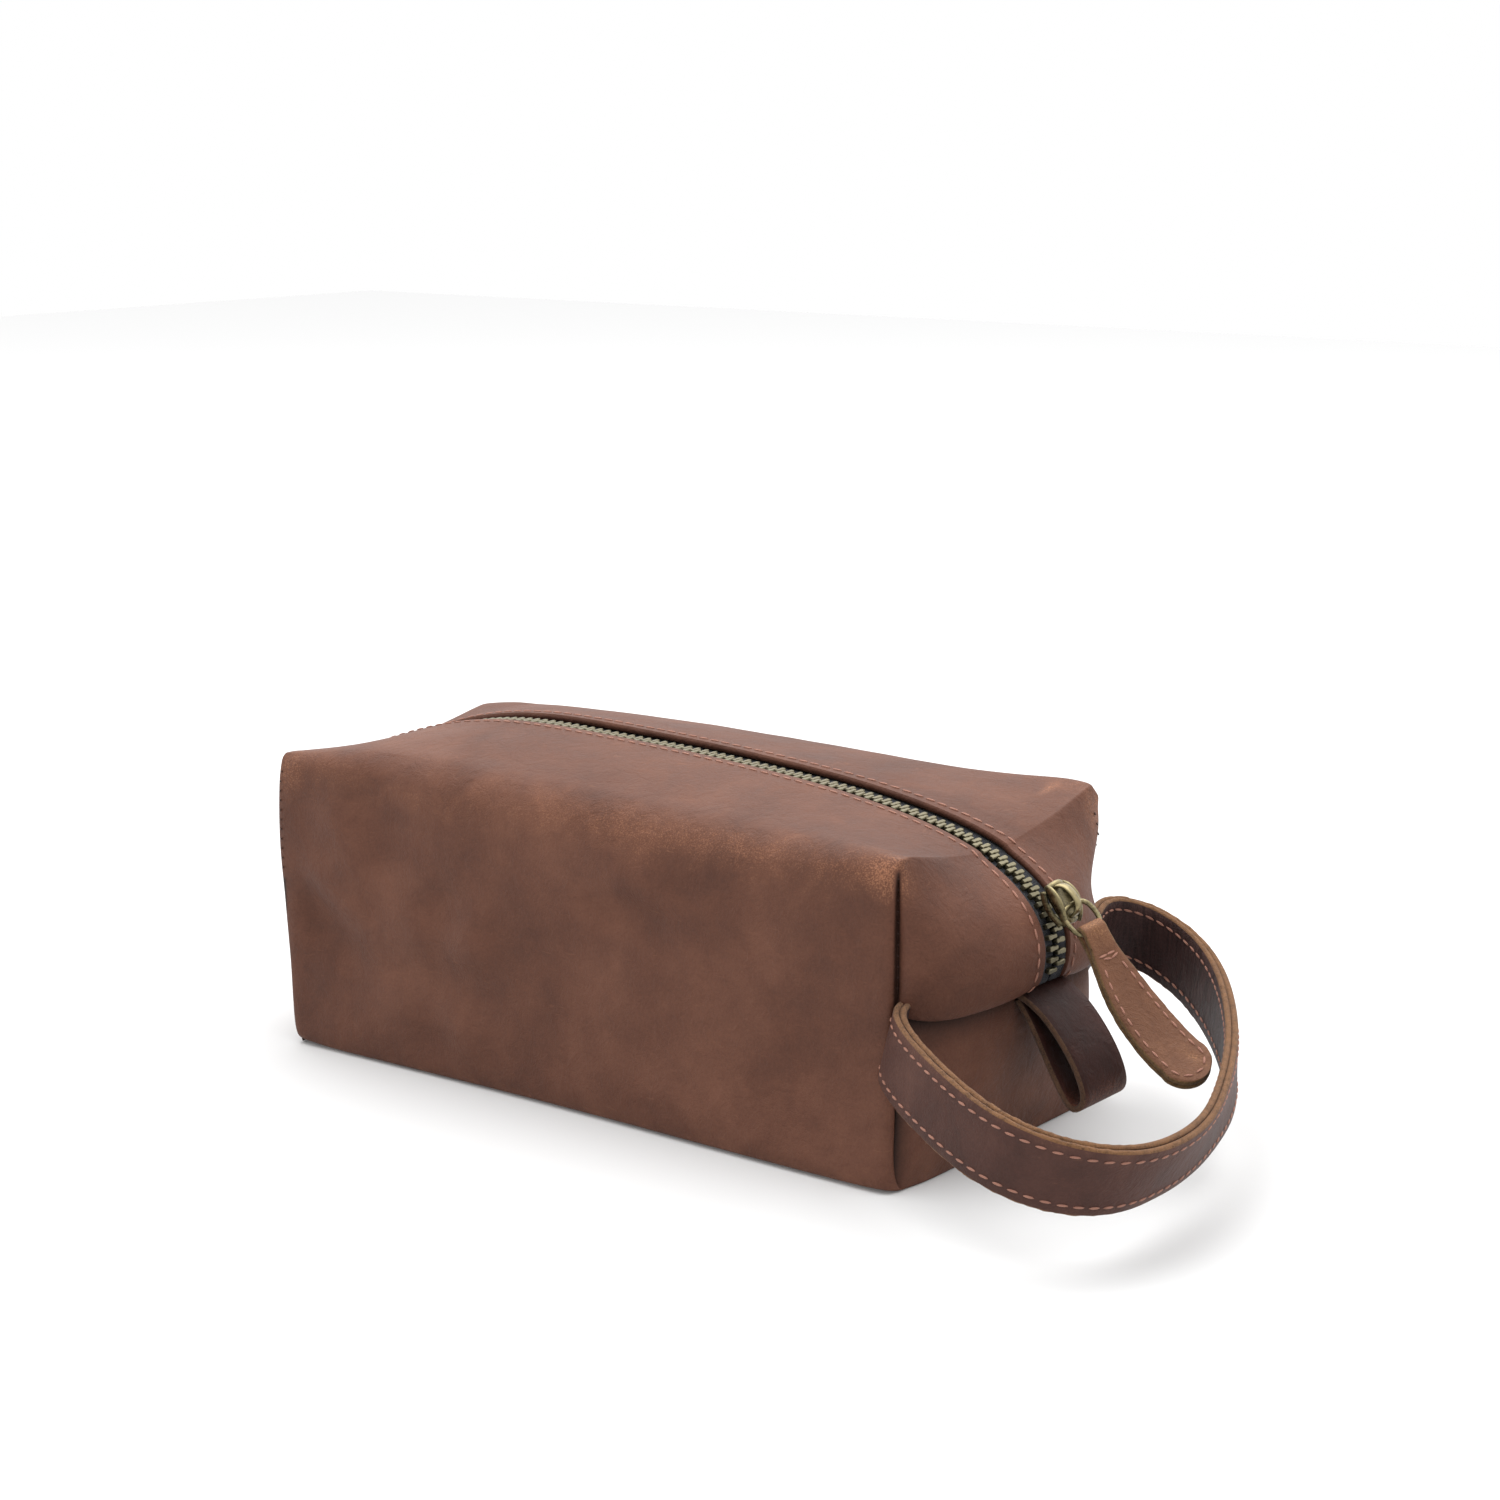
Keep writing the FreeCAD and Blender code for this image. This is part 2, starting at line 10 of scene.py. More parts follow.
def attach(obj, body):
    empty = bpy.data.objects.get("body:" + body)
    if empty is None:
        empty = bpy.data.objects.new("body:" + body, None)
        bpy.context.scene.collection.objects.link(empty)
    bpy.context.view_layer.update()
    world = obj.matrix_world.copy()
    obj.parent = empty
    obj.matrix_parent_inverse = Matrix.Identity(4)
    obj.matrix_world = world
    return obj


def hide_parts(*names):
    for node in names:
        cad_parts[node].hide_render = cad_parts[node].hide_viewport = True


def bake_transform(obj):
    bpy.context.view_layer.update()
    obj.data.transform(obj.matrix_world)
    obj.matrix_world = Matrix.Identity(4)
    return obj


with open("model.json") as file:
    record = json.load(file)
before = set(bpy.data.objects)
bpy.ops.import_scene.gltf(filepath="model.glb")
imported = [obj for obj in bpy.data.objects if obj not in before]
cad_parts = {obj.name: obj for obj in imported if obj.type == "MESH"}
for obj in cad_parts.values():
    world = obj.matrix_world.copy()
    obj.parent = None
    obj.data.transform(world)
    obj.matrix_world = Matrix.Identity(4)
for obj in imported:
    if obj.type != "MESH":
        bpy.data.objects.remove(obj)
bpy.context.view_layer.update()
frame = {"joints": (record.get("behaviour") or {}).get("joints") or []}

MM = 0.001
FRONT, BACK = -1, 1
HALVES = ((FRONT, "front"), (BACK, "back"))


# ---- small maths ---------------------------------------------------------------------------------

def smooth_step(value, low, high):
    t = np.clip((np.asarray(value, float) - low) / (high - low), 0, 1)
    return t * t * (3 - 2 * t)


def spline(points, count):
    """Natural cubic spline through points, resampled at equal distances."""
    p = np.array(points, float)
    gap = np.sqrt(np.linalg.norm(np.diff(p, axis=0), axis=1))
    t = np.concatenate([[0], np.cumsum(gap)])
    n, h = len(p), np.diff(t)
    system, right = np.eye(n), np.zeros_like(p)
    for i in range(1, n - 1):
        system[i, i - 1], system[i, i], system[i, i + 1] = h[i - 1], 2 * (h[i - 1] + h[i]), h[i]
        right[i] = 6 * ((p[i + 1] - p[i]) / h[i] - (p[i] - p[i - 1]) / h[i - 1])
    bend = np.linalg.solve(system, right)
    u = np.linspace(0, t[-1], 60 * n)
    k = np.clip(np.searchsorted(t, u, side="right") - 1, 0, n - 2)
    a, b, hk = (t[k + 1] - u)[:, None], (u - t[k])[:, None], h[k][:, None]
    q = (bend[k] * a ** 3 + bend[k + 1] * b ** 3) / (6 * hk) \
        + (p[k] / hk - bend[k] * hk / 6) * a + (p[k + 1] / hk - bend[k + 1] * hk / 6) * b
    return resample(q, count)


def run_of(q):
    """Distance along a line of points, at each point."""
    return np.concatenate([[0], np.cumsum(np.linalg.norm(np.diff(q, axis=0), axis=1))])


def at_run(at, run, values):
    """Values given along a run, read at one place or at many."""
    return np.stack([np.interp(at, run, values[:, i]) for i in range(values.shape[1])], -1)


def resample(q, count):
    run = run_of(q)
    return at_run(np.linspace(0, run[-1], count), run, q)


def unit(vectors):
    """Vectors, one or a list of them, brought to length 1."""
    vectors = np.asarray(vectors, float)
    return vectors / np.linalg.norm(vectors, axis=-1, keepdims=True)


def signed_power(value, power):
    """A power of a value's size that keeps its sign."""
    return math.copysign(abs(value) ** power, value)


# large odd factors that scramble a lattice cell into a value that looks random
CELL_FACTORS, SEED_FACTOR, LOW_BITS = (374761393, 668265263, 2147483647), 1274126177, 0xFFFFFFFF


def lattice(cells, seed):
    """A fixed value from -1 to 1 for each whole-numbered cell."""
    mixed = (cells.astype(np.int64) @ np.array(CELL_FACTORS) + seed * SEED_FACTOR) & LOW_BITS
    mixed = ((mixed ^ (mixed >> 13)) * SEED_FACTOR) & LOW_BITS
    return ((mixed ^ (mixed >> 16)) & 0xFFFF) / 65535.0 * 2 - 1


def soft_noise(points, size, seed):
    """Smooth value noise, from -1 to 1; size is the feature size in millimetres (one number or three)."""
    p = points / np.array(size, float)
    cell = np.floor(p)
    f = p - cell
    f = f * f * (3 - 2 * f)
    total = 0
    for corner in np.ndindex(2, 2, 2):
        weight = np.prod([f[..., i] if corner[i] else 1 - f[..., i] for i in range(3)], axis=0)
        total = total + weight * lattice(cell + np.array(corner), seed)
    return total


# ---- mesh helpers --------------------------------------------------------------------------------

def new_object(name, points, faces, material_indices=None, materials=(), smooth=True):
    """Mesh object from points in millimetres in the row frame."""
    mesh = bpy.data.meshes.new(name)
    mesh.from_pydata([tuple(p) for p in np.asarray(points, float) * MM], [], [list(f) for f in faces])
    for material in materials:
        mesh.materials.append(material)
    if material_indices is not None:
        mesh.polygons.foreach_set("material_index", np.asarray(material_indices, np.int32))
    mesh.polygons.foreach_set("use_smooth", [smooth] * len(mesh.polygons))
    mesh.update()
    made = bpy.data.objects.new(name, mesh)
    bpy.context.scene.collection.objects.link(made)
    return made


def points_of(obj):
    co = np.zeros(len(obj.data.vertices) * 3)
    obj.data.vertices.foreach_get("co", co)
    return co.reshape(-1, 3) / MM


def set_points(obj, points):
    obj.data.vertices.foreach_set("co", (points * MM).ravel())
    obj.data.update()


def normals_of(obj):
    value = np.zeros(len(obj.data.vertices) * 3)
    obj.data.vertex_normals.foreach_get("vector", value)
    return value.reshape(-1, 3)


def tube_faces(rings, sides, closed=False):
    """Quads between successive rings of points, and a cap at each end unless the tube closes on itself."""
    faces = []
    for i in range(rings if closed else rings - 1):
        m = (i + 1) % rings
        for j in range(sides):
            k = (j + 1) % sides
            faces.append((i * sides + j, i * sides + k, m * sides + k, m * sides + j))
    if not closed:
        faces += [tuple(range(sides))[::-1], tuple((rings - 1) * sides + j for j in range(sides))]
    return faces


def apply_modifiers(obj):
    depsgraph = bpy.context.evaluated_depsgraph_get()
    mesh = bpy.data.meshes.new_from_object(obj.evaluated_get(depsgraph), depsgraph=depsgraph)
    old = obj.data
    obj.modifiers.clear()
    obj.data = mesh
    bpy.data.meshes.remove(old)


def subdivide(obj, levels):
    mod = obj.modifiers.new("smooth", "SUBSURF")
    mod.levels = mod.render_levels = levels
    apply_modifiers(obj)


def thicken(obj, thickness):
    """Gives a sheet of leather its thickness inwards, with the second material on its inner side."""
    mod = obj.modifiers.new("thickness", "SOLIDIFY")
    mod.thickness, mod.offset, mod.material_offset = thickness * MM, -1, 1
    apply_modifiers(obj)


def crease(obj, pairs, amount):
    """Keeps the edges between pairs of vertices tight when the mesh is subdivided."""
    wanted = {frozenset(pair) for pair in pairs}
    attribute = obj.data.attributes.new("crease_edge", "FLOAT", "EDGE")
    for edge in obj.data.edges:
        if frozenset(edge.vertices) in wanted:
            attribute.data[edge.index].value = amount


def keep_rest(obj, wear_and_shade=None):
    """Stores each vertex's rest place, which the materials read, so a bent piece keeps its grain."""
    points, made = points_of(obj), obj.data.attributes.new
    made("rest", "FLOAT_VECTOR", "POINT").data.foreach_set("vector", points.astype(np.float32).ravel())
    # the second attribute holds wear as positive values and painted shade as negative values, which the
    # leather material darkens in the seams and under the folded-down top
    worn = np.zeros(len(points)) if wear_and_shade is None else wear_and_shade
    made("wear_and_shade", "FLOAT", "POINT").data.foreach_set("value", np.asarray(worn, np.float32))


def set_weights(obj):
    """Bakes the piece's placement into its mesh."""
    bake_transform(obj)


# ---- materials -----------------------------------------------------------------------------------

def linear(colour):
    """A colour given as red, green and blue up to 255, in the renderer's linear values."""
    return tuple(((c / 255 + 0.055) / 1.055) ** 2.4 if c > 10 else c / 255 / 12.92 for c in colour) + (1,)


class Shader:
    """The nodes of a material or of the world, built one at a time."""

    SOCKETS = {"colour": "Base Color", "roughness": "Roughness", "normal": "Normal", "metal": "Metallic",
               "specular": "Specular IOR Level", "sheen": "Sheen Weight",
               "sheen_roughness": "Sheen Roughness"}

    def __init__(self, block):
        self.block = block
        block.use_nodes = True
        self.tree = block.node_tree

    def give(self, socket, value):
        """Links a socket to another one, or sets it to a constant."""
        if isinstance(value, bpy.types.NodeSocket):
            self.tree.links.new(value, socket)
        else:
            socket.default_value = value

    def node(self, kind, inputs=(), **settings):
        made = self.tree.nodes.new(kind)
        for key, value in settings.items():
            setattr(made, key, value)
        for key, value in dict(inputs).items():
            self.give(made.inputs[key], value)
        return made

    def rest(self, scale=(1, 1, 1)):
        """Each point's place at rest in millimetres, stretched by a scale."""
        source = self.node("ShaderNodeAttribute", attribute_name="rest")
        return self.node("ShaderNodeVectorMath", {0: source.outputs["Vector"], 1: scale},
                         operation="MULTIPLY").outputs[0]

    # reads the per-vertex attribute: wear where positive, painted seam shade where negative
    def wear_and_shade(self):
        return self.node("ShaderNodeAttribute", attribute_name="wear_and_shade").outputs["Fac"]

    def noise(self, vector, scale, detail=3.0, roughness=0.5, distortion=0.0):
        return self.node("ShaderNodeTexNoise", {"Vector": vector, "Scale": scale, "Detail": detail,
                                                "Roughness": roughness, "Distortion": distortion}).outputs[0]

    def wave(self, vector, scale, distortion, direction, **inputs):
        inputs.update({"Vector": vector, "Scale": scale, "Distortion": distortion})
        made = self.node("ShaderNodeTexWave", inputs, wave_type="BANDS", bands_direction=direction)
        return made.outputs["Fac"]

    def ramp(self, value, stops):
        made = self.node("ShaderNodeValToRGB", {"Fac": value})
        ramp = made.color_ramp
        while len(ramp.elements) < len(stops):
            ramp.elements.new(0.5)
        for element, (place, colour) in zip(ramp.elements, stops):
            element.position = place
            element.color = colour if isinstance(colour, tuple) else (colour, colour, colour, 1)
        return made.outputs[0]

    def mix(self, share, a, b, kind="MIX"):
        inputs = {0: share, 6: a, 7: b}
        return self.node("ShaderNodeMix", inputs, data_type="RGBA", blend_type=kind).outputs[2]

    def maths(self, kind, a, b, clamp=False):
        return self.node("ShaderNodeMath", {0: a, 1: b}, operation=kind, use_clamp=clamp).outputs[0]

    def plus(self, a, b):
        return self.maths("ADD", a, b)

    def times(self, a, b, clamp=False):
        return self.maths("MULTIPLY", a, b, clamp)

    def blend(self, a, share_a, b, share_b):
        return self.plus(self.times(a, share_a), self.times(b, share_b))

    def bump(self, height, distance, strength, **after):
        inputs = {"Height": height, "Distance": distance * MM, "Strength": strength, **after}
        return self.node("ShaderNodeBump", inputs).outputs[0]

    def finish(self, **sockets):
        surface = self.tree.nodes["Principled BSDF"]
        for key, value in sockets.items():
            self.give(surface.inputs[self.SOCKETS[key]], value)
        return self.block


def new_shader(name):
    return Shader(bpy.data.materials.new(name))


# painted shade: the near-black brown that darkens the leather in the corner seams and under the folded-down
# top
SEAM_SHADE_COLOUR = linear((26, 15, 12))


def leather(name, *colours, roughness=0.5, grain=0.05, mottle=1.0, streaks=0.0):
    """Oiled pull-up leather: cloudy colour from dark over middle to light, fine pores, pale speckle of the
    fourth colour where the surface is worn, and painted shade: a dark line where a seam draws it in and
    under the folded-down top, where the per-vertex attribute is negative."""
    dark, middle, light, worn = map(linear, colours)
    s = new_shader(name)
    place = s.rest()
    cloud = s.noise(place, 0.022, 4.0, 0.55, 0.6)
    patch = s.noise(place, 0.085, 3.0, 0.6, 0.4)
    both = s.blend(cloud, 0.65, patch, 0.35)
    colour = s.ramp(both, [(0.5 - 0.16 / mottle, dark), (0.5, middle), (0.5 + 0.17 / mottle, light)])
    pores = s.noise(place, 1.15, 2.0, 0.6)
    fleck = s.noise(place, 2.1, 2.0, 0.7)
    colour = s.mix(0.35, colour, s.ramp(pores, [(0.3, 0.62), (0.62, 1.0)]), "MULTIPLY")
    wear_and_shade = s.wear_and_shade()
    uneven = s.plus(wear_and_shade, s.times(s.maths("SUBTRACT", patch, 0.5), 0.9))
    edge = s.times(uneven, s.ramp(wear_and_shade, [(0.0, 0.0), (0.12, 1.0)]), True)
    speck = s.ramp(s.plus(fleck, s.times(edge, 0.16)), [(0.6, 0.0), (0.7, 1.0)])
    rub = s.times(edge, s.plus(0.16, s.times(speck, 0.75)), True)
    colour = s.mix(rub, colour, worn)
    scratch = s.noise(s.rest((0.25, 0.25, 2.4)), 0.42, 2.0, 0.6, 1.5)
    colour = s.mix(s.times(s.ramp(scratch, [(0.68, 0.0), (0.74, 1.0)]), 0.12), colour, worn)
    if streaks:
        line = s.noise(s.rest((1, 1, 0.07)), 0.9, 3.0, 0.6)
        colour = s.mix(streaks, colour, s.ramp(line, [(0.35, 0.45), (0.6, 1.25)]), "MULTIPLY")
    # painted shade: where the per-vertex attribute is negative, the leather is darkened towards a near-black
    # brown in the corner seams and under the folded-down top, standing in for the shade that falls there
    colour = s.mix(s.times(wear_and_shade, -1.0, True), colour, SEAM_SHADE_COLOUR)
    cells = s.node("ShaderNodeTexVoronoi", {"Vector": place, "Scale": 0.95, "Randomness": 1.0},
                   feature="DISTANCE_TO_EDGE").outputs["Distance"]
    height = s.plus(s.ramp(cells, [(0.0, 0.0), (0.16, 1.0)]), s.times(pores, 0.9))
    creases = s.bump(s.noise(place, 0.16, 5.0, 0.62, 1.2), 1.3, 0.55)
    normal = s.bump(height, grain, 0.75, Normal=creases)
    rough = s.plus(roughness - 0.05, s.times(patch, 0.2))
    return s.finish(colour=colour, roughness=rough, normal=normal, specular=0.2)


def raw_edge(name, dark, light):
    """Cut edge of leather: fuzzy tan fibres."""
    dark, light = linear(dark), linear(light)
    s = new_shader(name)
    place = s.rest()
    fibre = s.noise(place, 1.6, 4.0, 0.75, 0.8)
    coarse = s.noise(place, 0.3, 3.0, 0.6)
    tone = s.blend(fibre, 0.7, coarse, 0.3)
    colour = s.ramp(tone, [(0.36, dark), (0.5, light), (0.66, tuple(min(1, c * 1.35) for c in light))])
    return s.finish(colour=colour, roughness=0.92, normal=s.bump(fibre, 0.5, 0.9), specular=0.15,
                    sheen=0.08, sheen_roughness=0.6)


def metal(name, dark, light, roughness):
    """Antique brass: bright where it is rubbed, brown-black in the hollows."""
    s = new_shader(name)
    place = s.rest()
    stain = s.noise(place, 0.42, 4.0, 0.65)
    fine = s.noise(place, 2.4, 3.0, 0.6)
    tone = s.blend(stain, 0.7, fine, 0.3)
    tone = s.plus(tone, s.times(s.maths("SUBTRACT", s.wear_and_shade(), 0.3), 0.22))
    colour = s.ramp(tone, [(0.34, linear(dark)), (0.62, linear(light))])
    rough = s.plus(roughness - 0.1, s.times(stain, 0.22))
    return s.finish(colour=colour, roughness=rough, metal=0.92, normal=s.bump(fine, 0.03, 0.6))


def cloth(name, dark, light, scale):
    """Woven zip tape: fine ribs with a little lint."""
    s = new_shader(name)
    place = s.rest()
    ribs = s.wave(place, scale, 0.4, "X", Detail=1.0)
    weave = s.times(s.plus(ribs, s.wave(place, scale * 1.3, 0.4, "Y")), 0.5)
    colour = s.mix(weave, linear(dark), linear(light))
    return s.finish(colour=colour, roughness=0.9, normal=s.bump(weave, 0.12, 0.8), specular=0.2,
                    sheen=0.15, sheen_roughness=0.5)


def thread(name, dark, light):
    """Waxed stitching thread, with its twist."""
    s = new_shader(name)
    place = s.rest()
    twist = s.wave(place, 1.1, 1.0, "DIAGONAL")
    tone = s.plus(s.times(twist, 0.5), s.times(s.noise(place, 0.2), 0.5))
    colour = s.mix(tone, linear(dark), linear(light))
    return s.finish(colour=colour, roughness=0.62, normal=s.bump(twist, 0.15, 0.8), specular=0.35)


HIDE = leather("bag_hide", (79, 49, 38), (96, 61, 47), (112, 74, 58), (158, 108, 80),
               roughness=0.56, mottle=0.8)
STRAP = leather("strap_hide", (60, 38, 32), (75, 48, 41), (89, 60, 51), (132, 92, 70))
LINING = leather("strap_inner_hide", (42, 27, 27), (58, 39, 37), (82, 59, 55), (108, 80, 72),
                 grain=0.12, mottle=0.8, streaks=0.7)
TAB = leather("tab_hide", (36, 17, 14), (47, 23, 18), (60, 31, 25), (112, 68, 50), roughness=0.56)
PULL = leather("pull_hide", (84, 54, 38), (102, 67, 48), (119, 81, 59), (176, 128, 88))
SUEDE = raw_edge("flesh_side", (70, 48, 36), (104, 74, 56))
TAB_EDGE = raw_edge("tab_cut_edge", (46, 31, 22), (82, 58, 42))
EDGE = raw_edge("cut_edge", (68, 45, 29), (116, 82, 54))
PULL_EDGE = raw_edge("pull_cut_edge", (66, 47, 28), (108, 82, 52))
BRASS = metal("antique_brass", (42, 39, 29), (146, 134, 100), 0.32)
TOOTH = metal("zip_tooth_brass", (40, 37, 29), (120, 113, 90), 0.42)
TAPE = cloth("zip_tape_weave", (10, 11, 15), (28, 32, 44), 1.6)
THREAD = thread("stitch_thread", (128, 84, 70), (186, 136, 116))
DARK_THREAD = thread("seam_thread", (40, 24, 21), (70, 45, 38))


# ---- the leather shell ---------------------------------------------------------------------------

# the line of the zip seen from the front, on the leather's outer face, from end seam to end seam
ZIP_LINE = [(-143.0, 52.5), (-145.2, 58), (-145.6, 64.5), (-144.4, 71), (-141.3, 77.3), (-136, 83.4),
            (-129, 89.2), (-119, 95.4), (-106, 101.4), (-90, 106.6), (-70, 110.0), (-49, 110.8), (-30, 110.3),
            (-8, 109.6), (12, 108.8), (31, 107.5), (50, 106.1), (69, 104.2), (87, 101.4), (106, 97.3),
            (119, 92.9), (129, 87.8), (136.3, 82.4), (141.4, 76.9), (144.4, 70.6), (145.6, 64), (145.0, 57.5),
            (143.0, 52.5)]
zip_path = spline(ZIP_LINE, 1600)
zip_run = run_of(zip_path)[-1]


def zip_height(x):
    top = zip_path[np.argmin(np.abs(zip_path[:, 0] + 135)):np.argmin(np.abs(zip_path[:, 0] - 135))]
    return np.interp(x, top[:, 0], top[:, 1])


SEAM_X, SEAM_Y = 122.8, 52.6
SLOT = 7.1
TOP_Y = (SLOT, 9.9, 16.0, 25.0, 34.0)
TUBE_X = (-123, -122.3, -119.5, -112, -102, -88, -68, -46, -22, 2, 26, 48, 69, 87, 100, 110, 118.5, 122.3,
          123)
SEAM_Z = (97.4, 92.6, 86.8, 80.2, 73, 65, 56.5)
LOW_Z = (47, 36.5, 26, 15, 7)
FLOOR_Y = (51.0, 46.0, 36.0, 25.0, 14.0, 7.0, 0.0)
# where the folded-over top reaches round each end: zip line points beside each seam height
ROUND_X = (130.5, 136.8, 141.6, 144.5, 145.6, 144.2)


def side_height(x, side):
    """Height of the top just inside the roll along the long edge."""
    xs = (-123, -112, -97, -82, -62, -40, 0, 40, 70, 101, 117, 123)
    zs = (99.4, 101.6, 103.9, 105.4, 106.2, 105.8, 104.2, 103.0, 102.0, 100.8, 99.8, 99.4)
    if side == BACK:
        zs = (100.4, 102.6, 103.8, 105.4, 106.2, 106.2, 105.2, 105.0, 104.0, 103.0, 103.1, 102.4)
    return np.interp(x, xs, zs)


def hill(value, centre, spread):
    """A smooth hump of height 1 round a centre."""
    return np.exp(-((value - centre) / spread) ** 2)


SHOULDER_Z, PINCH_Z = (91, 10), (73, 9)


def shoulder(x, z, side):
    """The back's right end: a rounded shoulder over a pinch."""
    if side == FRONT:
        return 0.0
    return float(smooth_step(x, 90, 119) * (7.6 * hill(z, *SHOULDER_Z) - 4.0 * hill(z, *PINCH_Z)))


def face_y(x, z, side):
    """How far a long face stands out from the middle: a slight belly, a foot that spreads on the table,
    a rounded shoulder over a pinch at the back's right end, and the corner seams drawn in."""
    belly = 1.3 * math.cos(x / 123 * math.pi / 2) * math.sin(max(0.0, min(1.0, z / 100)) * math.pi)
    tuck = float(np.interp(abs(x), (119.5, 122.3, 123), (0, 0.9, 4.6 if x > 0 else 2.4)))
    spread = (1.2 + 4.6 * float(smooth_step(x, -40, 122))) * hill(z, 0, 20)
    return 55.7 + belly + spread - tuck + shoulder(x, z, side)


def end_shift(x, z):
    """The far end stands a little further out, most of all at two thirds of its height, and the near
    end's foot spreads."""
    push = 5.4 * hill(z, 74, 44) - 2.0 * hill(z, 0, 7)
    return 3.0 * hill(z, 0, 20) * float(smooth_step(x, 106, 123)) - push * float(smooth_step(-x, 100, 123))


def section(x, side):
    """Points across one half of the bag at x, from the zip's edge over the roll and down to the middle of
    the base."""
    reach = abs(x) / 123
    centre, edge = float(zip_height(x)) + 0.8, float(side_height(x, side))
    tight = float(smooth_step(reach, 0.55, 1))
    round_z = 16 - 9.5 * tight if side == FRONT else 11 - 4.5 * tight
    round_y = 15 - 8.5 * tight if side == FRONT else 11 - 4.5 * tight
    wide = face_y(x, 88, side)
    start = wide - round_y
    points = []
    for y in TOP_Y:
        share = (y - SLOT) / (start - SLOT)
        power = 1.8 if centre > edge else 1.35
        points.append((y, centre + (edge - centre) * share ** power))
    corner = float(smooth_step(abs(x), 112, 123))

    def rolled(degrees):
        a = math.radians(degrees)
        return start + round_y * math.sin(a), edge - round_z * (1 - math.cos(a))

    corner_top, corner_low = (SEAM_Y - 1.6, 99.6), (SEAM_Y + 0.6, SEAM_Z[0])
    for degrees, at_corner in ((0, None), (20, None), (38, corner_top), (54, corner_low)):
        y, z = rolled(degrees)
        if at_corner is not None:
            y += (at_corner[0] + shoulder(x, 93, side) - y) * corner
            z += (at_corner[1] - z) * corner
        points.append((y, z))
    top = points[-1][1]
    for row, z in enumerate(SEAM_Z[1:]):
        if row == 0:
            y_rolled, z_rolled = rolled(73)
            points.append((y_rolled * (1 - corner) + face_y(x, z, side) * corner,
                           z_rolled * (1 - corner) + z * corner))
        elif row == 1:
            points.append((face_y(x, z, side), min(z, top - 8)))
        else:
            points.append((face_y(x, z, side), z))
    points += [(face_y(x, z, side), z) for z in LOW_Z]
    low = 0.9 * float(smooth_step(-x, 105, 123)) + 0.3 * float(smooth_step(x, 112, 123))
    inner = face_y(x, 0, side)
    points.append((inner - 0.3, 2.0 + low))
    points.append((inner - 2.2, 0.25 + low))
    points += [(y, low * smooth_step(y, 30, 50)) for y in FLOOR_Y]
    drawn = 1.5 * math.copysign(1, x) if abs(x) > 122.9 else 0.0
    return [np.array((x + end_shift(x, z) - drawn * (z < 95) * smooth_step(z, 1, 7), side * y, z))
            for y, z in points]


# plan of an end at the level of its cross seam: how far each point across stands out, from 0 at the
# corner seam to 1 at the zip; the far end is rounder
END_Y = (0, 6.6, 16, 25, 34, 44, 50.8, 52.7, 54.5)
END_OUT = {1: (1, 0.99, 0.945, 0.87, 0.755, 0.575, 0.27, 0.07, 0),
           -1: (1, 0.985, 0.92, 0.81, 0.64, 0.39, 0.16, 0.05, 0)}
CROSS_SEAM_Y = (0, 6.6, 17, 31, 42, 49, 51.6, 54.5)
CROSS_SEAM_Z = (53.6, 53.2, 51.2, 50.0, 49.2, 49.2, 50.6, 56.5)


def round_end(step, hand, side):
    """Points from the zip's edge to the corner seam on the part of the top that folds down over an end."""
    zip_x = ROUND_X[step]
    right = zip_path[zip_path[:, 0] > 123] if hand > 0 else zip_path[zip_path[:, 0] < -123] * (-1, 1)
    order = right[np.argsort(-right[:, 1])]
    rising = order[: np.argmax(order[:, 0]) + 1]
    zip_z = float(np.interp(zip_x, rising[:, 0], rising[:, 1])) if step < 5 else CROSS_SEAM_Z[0]
    seam_z = SEAM_Z[step + 1]
    soft = (0.72, 0.82, 0.92, 1.0, 1.0, 1.0)[step]
    points = []
    for y in TOP_Y + (44.0, 50.8, 52.7, SEAM_Y):
        out = float(np.interp(y, END_Y, END_OUT[hand])) ** (1 / soft)
        rise = float(np.interp(y, END_Y, END_OUT[1]))
        z = seam_z + (zip_z - seam_z) * rise ** 1.1
        if side == BACK and hand > 0:
            out *= 1 - 0.34 * float(smooth_step(y, 22, 44)) * hill(z, *PINCH_Z)
        x = 123.0 + (zip_x - 123.0) * out
        if step == 5:
            z = float(np.interp(y, CROSS_SEAM_Y, CROSS_SEAM_Z))
            x -= 0.8
        push = end_shift(hand * 123, z) * (1 - out)
        swell = (face_y(hand * 119, z, side) - 55.7) * (y / SEAM_Y) ** 3 if side == BACK else 0
        points.append(np.array((hand * x + push, side * (y + swell), z)))
    return points


def tucked(column, hand):
    """The lower edge of the folded-down top, turned under."""
    return [point - (hand * 4.6, 0, -1.3) for point in column[:-1]]


# place of the corner seam's point in a column of the folded-down end, and in a column of the long face
SEAM_AT, FACE_SEAM_AT, END_STEPS = 8, 9, 6


